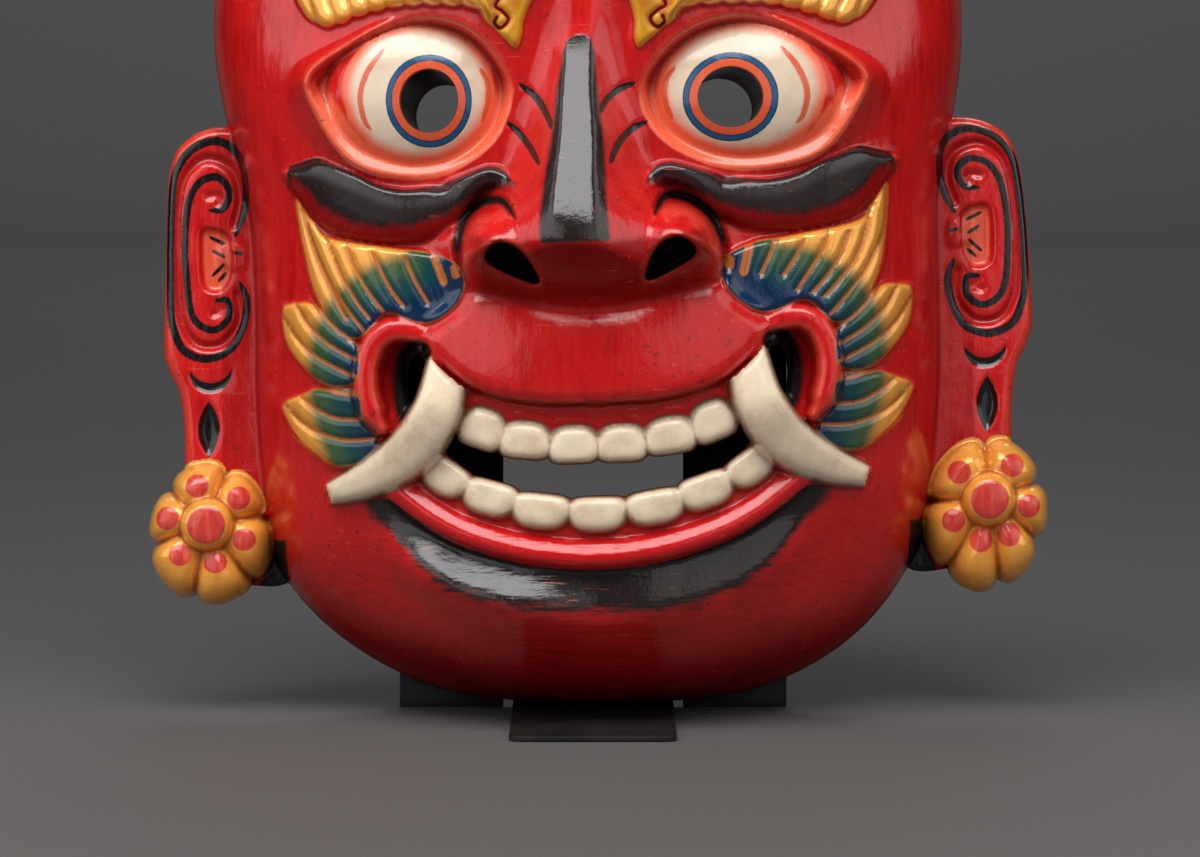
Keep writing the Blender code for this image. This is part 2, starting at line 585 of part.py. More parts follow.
def build_stand():
    """One sheet: tongue on the floor, bend, and an upright panel with a window and two feet."""
    profiles = stand_profile(True), stand_profile(False)
    columns = [-PANEL_WIDTH / 2, -WINDOW_WIDTH / 2, -TONGUE_WIDTH / 2, TONGUE_WIDTH / 2,
               WINDOW_WIDTH / 2, PANEL_WIDTH / 2]
    tongue_rows = [(k, k + 1) for k in range(7)]
    strip, window, head, foot = (7, 8), (8, 9), (9, 10), (11, 7)
    cells = [(row, 2) for row in tongue_rows]
    cells += [(row, column) for row in (strip, head) for column in range(5)]
    cells += [(row, column) for row in (window, foot) for column in (0, 4)]
    numbers, points, faces, edges = {}, [], [], {}

    def corner(row, column, face):
        key = (row, column, face)
        if key not in numbers:
            y, z = profiles[face][row]
            x = columns[column]
            if row == 0:
                x -= math.copysign(TONGUE_CORNER, x)
            numbers[key] = len(points)
            points.append(((x + PANEL_MIDDLE) * MM, y * MM, z * MM))
        return numbers[key]

    for (low, high), column in cells:
        loop = [(low, column), (low, column + 1), (high, column + 1), (high, column)]
        faces.append([corner(*spot, 0) for spot in loop])
        faces.append([corner(*spot, 1) for spot in reversed(loop)])
        for start, end in zip(loop, loop[1:] + loop[:1]):
            if (end, start) in edges:
                del edges[end, start]
            else:
                edges[start, end] = True
    for start, end in edges:
        faces.append([corner(*end, 0), corner(*start, 0), corner(*start, 1), corner(*end, 1)])
    return add_object("stand", np.array(points), faces,
                      principled("black_steel", (0.02, 0.02, 0.022), 0.42, metallic=0.6))


def main():
    for item in list(bpy.data.objects):
        bpy.data.objects.remove(item, do_unlink=True)
    build_mask()
    build_stand()


main()
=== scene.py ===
"""Carved and painted festival mask on its bent sheet stand, dressed for show.

The mask is one carved piece. Its relief is worked out in millimetres on the mask's own plane,
where `x` runs across the face, `t` up from the chin, and the height stands out from the flat
rim at the back. Each carved feature is a class that cuts its relief and lays its paint.
"""
from __future__ import annotations

import logging
import math
from dataclasses import dataclass, field
from enum import Enum
from functools import cached_property

import bpy
import numpy as np
from mathutils import Matrix, Vector

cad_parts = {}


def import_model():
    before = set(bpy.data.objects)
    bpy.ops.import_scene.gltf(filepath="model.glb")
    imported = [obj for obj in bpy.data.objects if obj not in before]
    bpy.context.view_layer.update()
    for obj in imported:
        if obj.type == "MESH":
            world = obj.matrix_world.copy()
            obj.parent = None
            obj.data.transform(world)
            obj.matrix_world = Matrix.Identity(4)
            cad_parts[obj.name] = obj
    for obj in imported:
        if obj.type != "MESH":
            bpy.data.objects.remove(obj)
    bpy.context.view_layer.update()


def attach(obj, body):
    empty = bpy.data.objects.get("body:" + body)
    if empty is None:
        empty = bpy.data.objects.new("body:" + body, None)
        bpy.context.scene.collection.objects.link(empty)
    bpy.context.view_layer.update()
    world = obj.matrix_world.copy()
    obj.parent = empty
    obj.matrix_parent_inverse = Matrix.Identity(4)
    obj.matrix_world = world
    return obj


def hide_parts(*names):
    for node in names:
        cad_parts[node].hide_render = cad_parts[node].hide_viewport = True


log = logging.getLogger("mask")
Array = np.ndarray
Pair = tuple[float, float]
Points = tuple[Pair, ...]
Place = tuple[float, float, float]
Colour = tuple[float, float, float]
Values = tuple[float, ...]
Piece = bpy.types.Object

MM = 0.001
LEAN = math.radians(5.0)  # backward lean of the mask and of the stand's panel
NONE = -400.0  # height of "nothing here"
FAR = 9.0  # distance past which a stroke no longer matters
AWAY = -9.0  # distance field of a paint where it isn't laid
QUARTER = math.pi / 2.0
SIDES = (-1, 1)


# ---- blends and lines
def smooth(x: Array, low: float, high: float) -> Array:
    """Smooth step from 0 at `low` to 1 at `high`."""
    k = np.clip((x - low) / (high - low), 0.0, 1.0)
    return k * k * (3.0 - 2.0 * k)


def soft_max(a: Array, b: Array, width: float) -> Array:
    """Larger of two heights, with a fillet about `width` wide."""
    h = np.clip(0.5 + 0.5 * (a - b) / width, 0.0, 1.0)
    return b + (a - b) * h + width * h * (1.0 - h)


def soft_min(a: Array, b: Array, width: float) -> Array:
    """Smaller of two heights, with a round about `width` wide."""
    return -soft_max(-a, -b, width)


def arc(share: Array) -> Array:
    """Quarter-round height, 0 at 0 and 1 from 1 on."""
    return np.sqrt(1.0 - (1.0 - np.clip(share, 0.0, 1.0)) ** 2)


def cap(share: Array) -> Array:
    """Round cap over a distance share: 1 in the middle, 0 at 1."""
    return np.sqrt(np.clip(1.0 - share, 0.0, 1.0))


def bell(x: Array, width: float) -> Array:
    """Bell curve: 1 at 0, falling off over `width`."""
    return np.exp(-(x / width) ** 2)


@dataclass(frozen=True)
class Line:
    """A smooth line through points on the mask's plane, on both sides unless `one_side`."""

    points: Points
    closed: bool = False
    steps: int = 14
    one_side: bool = False

    @cached_property
    def path(self) -> Array:
        """Points of the Catmull-Rom line.

        Returns:
            One row for each point.
        """
        pts = np.array(self.points, float)
        count = len(pts)
        if self.closed:
            ends = pts
            order = [[(i + j) % count for j in (-1, 0, 1, 2)] for i in range(count)]
        else:
            ends = np.vstack([2 * pts[0] - pts[1], pts, 2 * pts[-1] - pts[-2]])
            order = [[i, i + 1, i + 2, i + 3] for i in range(count - 1)]
        u = (np.arange(self.steps) / self.steps)[:, None]
        runs = []
        for quad in order:
            a, b, c, d = ends[quad]
            runs.append(0.5 * (2 * b + (c - a) * u + (2 * a - 5 * b + 4 * c - d) * u ** 2
                               + (3 * b - a - 3 * c + d) * u ** 3))
        return np.vstack(runs + [pts[:1] if self.closed else pts[-1:]])

    def near(self, at: Plan, reach: float = FAR) -> tuple[Array, Array]:
        """Distance to the line, no more than `reach`, and the share along at the nearest point."""
        return near_path(self.path, at.x if self.one_side else at.s, at.t, reach)

    def gap(self, at: Plan, reach: float = 12.0) -> Array:
        """Distance to the line, no more than `reach`."""
        return self.near(at, reach)[0]

    def inside(self, at: Plan, reach: float = 30.0) -> Array:
        """Signed distance to the closed line, positive inside."""
        return inside_path(self.path, at.x if self.one_side else at.s, at.t, reach)

    def level(self, at: Plan) -> Array:
        """Height up the plane at which a line that runs across passes."""
        return np.interp(at.s, *self.path.T)

    def swell(self, widths: Values, at: Plan, reach: float = 24.0) -> tuple[Array, Array]:
        """Distance as a share of the half width there, and the share along."""
        gap, along = self.near(at, reach)
        return gap / along_line(widths, along), along


Lines = tuple[Line, ...]


def lines(*runs: Points, one_side: bool = False) -> Lines:
    """Open lines through several runs of points."""
    return tuple(Line(run, one_side=one_side) for run in runs)


def near_path(path: Array, s: Array, t: Array, reach: float) -> tuple[Array, Array]:
    """Distance to a run of points, no more than `reach`, and the share along it.

    Args:
        path: the line's points, one row each.
        s: the places' first coordinate.
        t: the places' second coordinate.
        reach: the largest distance that matters.

    Returns:
        The distances, and the share of the line's length at each nearest point.
    """
    gap, along = np.full(s.shape, reach), np.zeros(s.shape)
    low, high = path.min(axis=0) - reach, path.max(axis=0) + reach
    box = (s > low[0]) & (s < high[0]) & (t > low[1]) & (t < high[1])
    x, z = s[box], t[box]
    best, where = np.full(x.shape, reach), np.zeros(x.shape)
    step = path[1:] - path[:-1]
    size = np.hypot(step[:, 0], step[:, 1]) + 1e-9
    begun = np.concatenate([[0.0], np.cumsum(size)])
    for (ax, az), (dx, dz), length, start in zip(path[:-1], step, size, begun):
        k = np.clip(((x - ax) * dx + (z - az) * dz) / length ** 2, 0.0, 1.0)
        d = np.hypot(x - ax - k * dx, z - az - k * dz)
        closer = d < best
        best = np.where(closer, d, best)
        where = np.where(closer, (start + k * length) / begun[-1], where)
    gap[box], along[box] = best, where
    return gap, along


def inside_path(path: Array, s: Array, t: Array, reach: float) -> Array:
    """Signed distance to a closed run of points, positive inside.

    Args:
        path: the line's points, one row each.
        s: the places' first coordinate.
        t: the places' second coordinate.
        reach: the largest distance that matters.

    Returns:
        The distances.
    """
    gap = near_path(path, s, t, reach)[0]
    odd = np.zeros(s.shape, bool)
    for (s0, t0), (s1, t1) in zip(path[:-1], path[1:]):
        if t0 != t1:
            crosses = (t0 > t) != (t1 > t)
            odd ^= crosses & (s < (s1 - s0) * (t - t0) / (t1 - t0) + s0)
    return np.where(odd, gap, -gap)


def across(upper: Line, lower: Line, past: float = 30.0) -> Array:
    """Closed path over the centre, from a line outwards and a line back inwards."""
    up, low = upper.path, lower.path
    return np.vstack([up, low, [(-past, low[-1][1]), (-past, up[0][1])], up[:1]])


def along_line(values: Values, along: Array) -> Array:
    """Smooth value at a share of the way along, from values at even steps."""
    curve = Line(tuple((float(i), v) for i, v in enumerate(values))).path
    return np.interp(along * (len(values) - 1), curve[:, 0], curve[:, 1])


# ---- places and paint
@dataclass
class Plan:
    """Places on the mask's plane, in millimetres."""

    x: Array
    t: Array

    @property
    def s(self) -> Array:
        """Distance from the centre line."""
        return np.abs(self.x)

    def part(self, here: Array) -> Plan:
        """The places picked by a mask."""
        return Plan(self.x[here], self.t[here])


@dataclass(frozen=True)
class Oval:
    """Upright oval on the mask's plane, the same on both sides."""

    s: float
    t: float
    wide: float
    tall: float

    def square(self, at: Plan) -> Array:
        """Square of the reach: 0 in the middle, 1 on the edge."""
        return ((at.s - self.s) / self.wide) ** 2 + ((at.t - self.t) / self.tall) ** 2

    def reach(self, at: Plan) -> Array:
        """Share of the way from the middle to the edge."""
        return np.hypot((at.s - self.s) / self.wide, (at.t - self.t) / self.tall)

    def dome(self, at: Plan, edge: float, bulge: float) -> Array:
        """Height of a dome that stands on the oval's edge."""
        square = self.square(at)
        return np.where(square < 1.0, edge + bulge * cap(square), NONE)

    def mound(self, at: Plan, rise: float) -> Array:
        """Soft swelling without an edge."""
        return rise * np.exp(-((at.s - self.s) / self.wide) ** 2
                             - ((at.t - self.t) / self.tall) ** 2)


# outlines that more than one feature follows
UPPER_LIP: Points = ((0, 149.5), (27, 150.3), (47.5, 154), (62, 159.5), (75.6, 170))
WHOLE_UPPER_LIP: Points = UPPER_LIP + ((84, 181),)
UNDER_LIP: Points = ((42, 75), (67, 83.5), (86, 95), (103, 108))
MOUTH_TOP: Points = ((0, 123.5), (24, 125.5), (46, 131), (62, 137.5), (72, 141))
MOUTH_LOW: Points = ((70, 125), (53, 113.5), (28, 106.5), (0, 104.5))
CORNER_BEND: Points = ((84, 187), (93, 190.5), (102, 190), (109.5, 184), (113.5, 173),
                       (113.5, 160))
FLOWER = Oval(197.0, 90.5, 31.5, 38.5)
PUPIL_EDGE, IRIS_EDGE, IRIS_OUT = 15.6, 18.5, 22.3  # rings round the pupil's middle


class Coat(Enum):
    """Paint and surface fields of the carving: its name, and the value where there is none."""

    GOLD = ("gold", AWAY)  # distance into the gold paint
    HUE = ("hue", 0.0)  # feather colour, 0 gold to 1 blue
    QUILL = ("quill", AWAY)  # orange lines between the feathers
    CREAM = ("cream", AWAY)  # teeth and fangs
    BALL = ("ball", AWAY)  # eyeball, 1 in its middle and 0 at its edge
    RING = ("ring", -99.0)  # minus the distance from the pupil's middle
    VEIN = ("vein", AWAY)  # red strokes on the eyeball
    INK = ("ink", AWAY)  # hard black strokes
    BLACK_AND_SHADE = ("black_and_shade", 0.0)  # soft black paint, and painted shade in the mouth's funnels
    GUM = ("gum", AWAY)  # clean bright red in the mouth
    DOT = ("dot", AWAY)  # crimson dots on the flowers
    CURL = ("curl", AWAY)  # yellow ornament over the nose
    CORAL = ("coral", 0.0)  # light orange red; on the lower lids partly painted highlight
    SHADE = ("shade", 0.0)  # deep dark red paint, and painted shade under the chin, the nose and the upper lids, in the mouth's funnels and the ears' channels, and at the head's edge
    GRIME_AND_SHADE = ("nook", 0.0)  # how deep in a recess, for grime together with painted shade
    CREST = ("crest", 0.0)  # how far out on an edge
    REAR = ("rear", 0.0)  # back of the mask

    @property
    def nothing(self) -> float:
        """Value where the coat isn't laid."""
        return self.value[1]

    @property
    def attribute(self) -> str:
        """Name of the mesh attribute that carries the coat."""
        return "coat_" + self.value[0]


Fields = dict[Coat, Array]


class Feature:
    """One carved and painted feature of the face."""

    window: tuple[float, float, float, float] = (0.0, 240.0, -20.0, 520.0)

    def holds(self, at: Plan) -> Array:
        """Where the feature may have any effect."""
        low_s, high_s, low_t, high_t = self.window
        return (at.s >= low_s) & (at.s <= high_s) & (at.t >= low_t) & (at.t <= high_t)

    def carve(self, p: Array, at: Plan) -> Array:
        """Height after this feature is cut, from the height so far."""
        return p

    def paint(self, at: Plan) -> Fields:
        """Paint fields of this feature at the given places."""
        return {}


# ---- the plain face
@dataclass
class Face:
    """Plain domed face: outline, chin, forehead and the hollow behind."""

    outline: Points = (
        (0, 503), (92, 492), (142, 463), (174, 420), (187.5, 377), (190.5, 335), (184, 290),
        (177, 252), (175.5, 204), (175, 153), (169.5, 98), (157, 63), (129, 32), (89, 9.5),
        (45, 0.8))
    rise: float = 109.0
    power: float = 3.0
    middle: float = 250.0
    rim: float = 3.0
    lip: Points = ((0, 70),) + UNDER_LIP + ((125, 124),)
    jaw: Oval = Oval(0.0, 79.5, 128.0, 79.0)
    jaw_edge: float = 26.0
    jaw_bulge: float = 81.0
    forehead: Oval = Oval(0.0, 378.0, 95.0, 62.0)
    forehead_rise: float = 24.0
    cheek: Oval = Oval(118.0, 215.0, 34.0, 60.0)
    jowl: Oval = Oval(0.0, 118.0, 78.0, 34.0)
    cheek_rise: float = 9.0
    chin: float = 16.0
    chin_drop: float = 25.0  # fullest part of the chin, below the lip
    hollow: float = 96.0
    hollow_share: float = 0.92

    @cached_property
    def head(self) -> Line:
        """Closed outline of the head."""
        mirrored = tuple((-x, z) for x, z in self.outline[:0:-1])
        return Line(self.outline + ((0, 0),) + mirrored, closed=True, steps=10, one_side=True)

    def ratio(self, at: Plan) -> Array:
        """How far out towards the outline.

        Args:
            at: the places.

        Returns:
            0 in the dome's middle, 1 on the outline.
        """
        line = self.head.path
        line = line[line[:, 0] >= -1e-6]
        angle = np.arctan2(line[:, 1] - self.middle, line[:, 0])
        order = np.argsort(angle)
        reach = np.hypot(line[:, 0], line[:, 1] - self.middle)[order]
        here = np.arctan2(at.t - self.middle, at.s)
        return np.hypot(at.s, at.t - self.middle) / np.interp(here, angle[order], reach)

    def height(self, at: Plan) -> Array:
        """Plain face: dome, swelling behind the mouth, forehead, cheeks.

        Args:
            at: the places.

        Returns:
            The height over the rim's plane.
        """
        s, t = at.s, at.t
        p = self.rim + self.rise * cap(self.ratio(at) ** self.power)
        p = soft_max(p, self.jaw.dome(at, self.jaw_edge, self.jaw_bulge), 14.0)
        p = p + self.forehead.mound(at, self.forehead_rise)
        below_lip = np.interp(s, *np.array(self.lip).T) - t
        full = self.chin * (0.56 + 0.44 * smooth(at.x, 5.0, -45.0))
        p = p + full * bell(below_lip - self.chin_drop, 16.0) * smooth(s, 126.0, 76.0)
        p = p + self.cheek.mound(at, self.cheek_rise)
        return p + self.jowl.mound(at, self.cheek_rise)

    def hollow_height(self, at: Plan) -> Array:
        """Height of the hollow's surface behind the face."""
        share = np.minimum(self.ratio(at) / self.hollow_share, 1.0)
        return self.hollow * cap(share ** self.power)


# ---- carved features
@dataclass
class Edge(Feature):
    """Darker red towards the edge of the head: brushwork, and painted shade where the head's sides
    turn away.
    """

    face: Face = field(default_factory=Face)
    depth: float = 0.34

    def paint(self, at: Plan) -> Fields:
        """Paint fields of the edge."""
        return {Coat.SHADE: self.depth * smooth(self.face.ratio(at), 0.90, 0.99) * (at.s < 190.0)}


@dataclass
class Brow(Feature):
    """Raised brow cut into strands and gilded."""

    window = (36.0, 160.0, 330.0, 396.0)
    outline: Line = Line((
        (44, 340), (54, 345), (84, 347), (110, 342.5), (124, 338), (135, 341), (145, 356),
        (151, 376), (136, 388), (100, 386), (70, 373), (50, 357)), closed=True)
    rise: float = 7.5
    pitch: float = 9.6
    slant: float = 0.42
    scallop: float = 1.3
    groove: float = 3.0

    def strand(self, at: Plan) -> Array:
        """0 on a strand's crest, 1 in the cut between two."""
        turn = (at.s - self.slant * (at.t - 345.0)) / self.pitch
        return np.abs(np.mod(turn, 1.0) - 0.5) * 2.0

    def depth(self, at: Plan) -> Array:
        """Distance into the brow, its edge scalloped by the strands."""
        return self.outline.inside(at) - self.scallop * self.strand(at) ** 2 + 0.4

    def carve(self, p: Array, at: Plan) -> Array:
        """Raise the brow and cut it into strands.

        Args:
            p: height so far.
            at: the places.

        Returns:
            The height after the cut.
        """
        deep = self.depth(at)
        cut = self.groove * self.strand(at) ** 5 + 0.6 * self.strand(at)
        carved = p + self.rise * arc(deep / 6.0) - cut * smooth(deep, 0.0, 3.0)
        return np.where(deep > 0.0, carved, p)

    def paint(self, at: Plan) -> Fields:
        """Gild the brow."""
        return {Coat.GOLD: self.depth(at)}


@dataclass
class Eye(Feature):
    """Lid rim that falls inwards to a bulging eyeball with a pierced pupil."""

    window = (14.0, 165.0, 236.0, 368.0)
    rim: Line = Line((
        (139, 309.5), (116, 330), (85, 342.5), (53, 335), (32.5, 310), (38, 284), (60, 266),
        (90, 262), (121, 273.5)), closed=True)
    lid: float = 111.0
    upper_rise: float = 3.0  # upper lid over the lower
    outer_drop: float = 4.5  # lid's fall towards the temple
    lower_inset: float = 2.4  # lower lid's crest, inside the outline
    lower_falls: Pair = (0.55, 1.7)  # gentle, then steep
    upper_fall: float = 2.1
    ball: Oval = Oval(79.5, 304.5, 48.0, 38.5)
    ball_edge: float = 98.0
    bulge: float = 22.0
    white: Oval = Oval(79.5, 305.3, 39.5, 33.5)
    pupil: tuple[float, float, float] = (74.0, 300.5, 15.3)  # middle and radius
    stroke_out: Line = Line(((97, 326), (105.4, 315), (109.5, 303.3), (107.7, 292), (104, 286.6)))
    stroke_in: Line = Line(((48.3, 316.5), (44, 309.2), (43.6, 299.6), (47, 289.8)))

    def crest(self, at: Plan) -> tuple[Array, Array]:
        """Place across the lid.

        Args:
            at: the places.

        Returns:
            Distance inwards from the lid's crest, and the share of upper lid.
        """
        upper = smooth(at.t, 292.0, 314.0)
        inset = self.lower_inset * (1.0 - upper) * smooth(at.s, 30.0, 60.0)
        return self.rim.inside(at) - inset, upper

    def carve(self, p: Array, at: Plan) -> Array:
        """Raise the lid, let it fall inwards and set the eyeball in it.

        Args:
            p: height so far.
            at: the places.

        Returns:
            The height after the cut.
        """
        s, t = at.s, at.t
        deep, upper = self.crest(at)
        p = p + 3.0 * smooth(deep, -26.0, -2.0) * smooth(t, 250.0, 300.0)
        lid = self.lid + self.upper_rise * upper - self.outer_drop * smooth(s, 95.0, 139.0)
        gentle, steep = self.lower_falls
        bevel = gentle * np.clip(deep - 1.5, 0.0, 7.0) + steep * np.clip(deep - 8.5, 0.0, None)
        fall = upper * self.upper_fall * np.clip(deep - 2.2, 0.0, None)
        inner = lid - fall - (1.0 - upper) * bevel
        outer = np.where(deep > -12.0, lid - 1.6 + (1.5 + 0.9 * upper) * deep, NONE)
        floor = np.maximum(self.ball.dome(at, self.ball_edge, self.bulge),
                           np.where(deep > 4.0, self.ball_edge + 1.5, NONE))
        inner = soft_max(inner, floor, 0.9)
        ridge = soft_max(p, np.where(deep > 0.0, inner, outer), 2.0)
        share = smooth(deep, 0.5, 3.5)
        return ridge + (inner - ridge) * share

    def paint(self, at: Plan) -> Fields:
        """Paint the eyeball with its rings and strokes, and the lid, with painted highlight on the
        lower lid and painted shade under the upper lid.

        Args:
            at: the places.

        Returns:
            The paint fields.
        """
        s, t = at.s, at.t
        deep, upper = self.crest(at)
        out, out_at = self.stroke_out.near(at)
        inn, inn_at = self.stroke_in.near(at)
        inside = smooth(deep, -1.6, 0.2)
        # Coral on the lids, most on the lower lid: lid paint, and painted highlight where the lower
        # lid's bevel faces up to the light. The dark red just inside the upper lid's edge is
        # painted shade.
        coral = inside * smooth(deep, 16.0, 9.0)
        tunnel = np.hypot(s - self.pupil[0], t - self.pupil[1])
        return {Coat.BALL: np.where(deep > 4.5, 1.0 - self.white.reach(at), AWAY),
                Coat.RING: -tunnel,
                Coat.VEIN: np.maximum(1.5 * cap((2 * out_at - 1) ** 4) - out,
                                      1.4 * cap((2 * inn_at - 1) ** 4) - inn),
                Coat.CORAL: coral * (1.12 - 0.85 * upper),
                Coat.SHADE: upper * smooth(deep, 2.0, 4.0) * smooth(deep, 10.0, 6.0) * 0.15}


@dataclass
class Sash(Feature):
    """Swelling under the eye: black along its crisp top edge, fading below."""

    window = (20.0, 172.0, 210.0, 292.0)
    line: Line = Line((
        (151, 270), (142, 265), (125, 256), (104, 248.5), (84, 246), (67, 250), (54, 260.5),
        (42, 263.5), (32, 257), (29, 249)))
    width: Values = (2.5, 11.5, 16, 15.5, 13, 11.5, 7.5, 6, 5, 1)
    fade: Points = (
        (30, 9), (64, 15), (76, 17), (91, 18.5), (106, 22.5), (120, 25.5), (134, 23), (147, 10),
        (156, 6))
    top: Line = Line((
        (26.5, 248), (29, 253.5), (32, 260), (36, 265), (40, 268), (46, 268.6), (54.5, 266),
        (65.5, 262.5), (77.7, 260), (90, 259.3), (102.4, 261.8), (113, 267), (122.7, 271),
        (131.4, 275), (139.2, 278), (146, 277), (150, 271), (152, 264)))
    rise: float = 8.5
    skirt: float = 1.35  # how far it runs out, in half widths

    def carve(self, p: Array, at: Plan) -> Array:
        """Raise the swelling, crisp above and soft below.

        Args:
            p: height so far.
            at: the places.

        Returns:
            The height after the cut.
        """
        share, along = self.line.swell(self.width, at)
        below = self.top.level(at) - at.t
        lower = self.rise * cap(share ** 2.4)
        upper = (self.rise - 2.0 * share ** 2) * smooth(below, -0.7, 1.3)
        middle = np.interp(at.s, *self.line.path[::-1][12:].T)
        over = smooth(at.t - middle, -2.0, 3.0) * smooth(at.s, 40.0, 48.0) * smooth(along, 0.0, 0.1)
        groove = 0.9 * bell(below + 1.0, 1.2) * smooth(at.s, 150.0, 140.0) * (at.s > 34.0)
        near = smooth(share, self.skirt, 1.0)
        carved = p + lower + (upper - lower) * over * near - groove * near
        return np.where(share < self.skirt, carved, p)

    def paint(self, at: Plan) -> Fields:
        """Lay the black from the top edge down.

        Args:
            at: the places.

        Returns:
            The paint fields.
        """
        share, along = self.line.swell(self.width, at)
        below = self.top.level(at) - at.t
        end = smooth(at.s, 156.0, 153.0) * smooth(at.s + 0.5 * at.t, 293.0, 286.0)
        near = smooth(share, 1.6, 1.3)
        middle = np.interp(at.s, *np.array(self.fade).T)
        black_and_shade = smooth(below, -0.5, 0.5) * smooth(below - middle, 8.0, -8.0)
        black_and_shade = black_and_shade * near * end * smooth(along, 0.99, 0.86)
        return {Coat.BLACK_AND_SHADE: black_and_shade,
                Coat.SHADE: 0.62 * smooth(below, 4.0, 12.0) * smooth(share, 1.25, 0.95)}


@dataclass
class Muzzle(Feature):
    """Broad upper lip with a beaded edge."""

    window = (0.0, 92.0, 144.0, 232.0)
    edge: Line = Line(WHOLE_UPPER_LIP)
    top: Line = Line(((84, 181), (85, 187), (77, 193.5), (68, 200), (60, 209), (40, 208), (0, 201)))
    swell: float = 131.5
    middle: float = 178.0
    falls: Pair = (0.0017, 0.0024)  # to the sides, up and down

    def over(self, at: Plan) -> Array:
        """Height above the lip's edge on the plane."""
        return at.t - self.edge.level(at)

    def carve(self, p: Array, at: Plan) -> Array:
        """Raise the upper lip and cut its bead.

        Args:
            p: height so far.
            at: the places.

        Returns:
            The height after the cut.
        """
        s, t = at.s, at.t
        over = self.over(at)
        aside, upright = self.falls
        swell = self.swell - aside * s ** 2 - upright * (t - self.middle) ** 2
        swell = swell - 0.013 * np.clip(t - 181.0, 0.0, 18.0) ** 2 * smooth(s, 48.0, 12.0)
        side = inside_path(across(self.edge, self.top), s, t, 30.0)
        body = np.where(side > -16.0, swell - 0.055 * np.clip(9.0 - side, 0.0, None) ** 2, NONE)
        bead = 0.9 * bell(over - 1.5, 1.2) - 0.7 * bell(over - 4.0, 0.9)
        edge = np.where(over > 0.0, swell + bead - 4.0 * (1.0 - arc(over / 4.2)), NONE)
        carved = soft_max(p, np.minimum(body, edge), 5.0)
        return np.where((over > -0.01) & (s < 86.0), carved, p)

    def paint(self, at: Plan) -> Fields:
        """Darken the line along the bead."""
        line = (at.s < 86.0) * smooth(np.abs(self.over(at) - 1.6), 2.2, 0.8)
        return {Coat.SHADE: 0.7 * line}


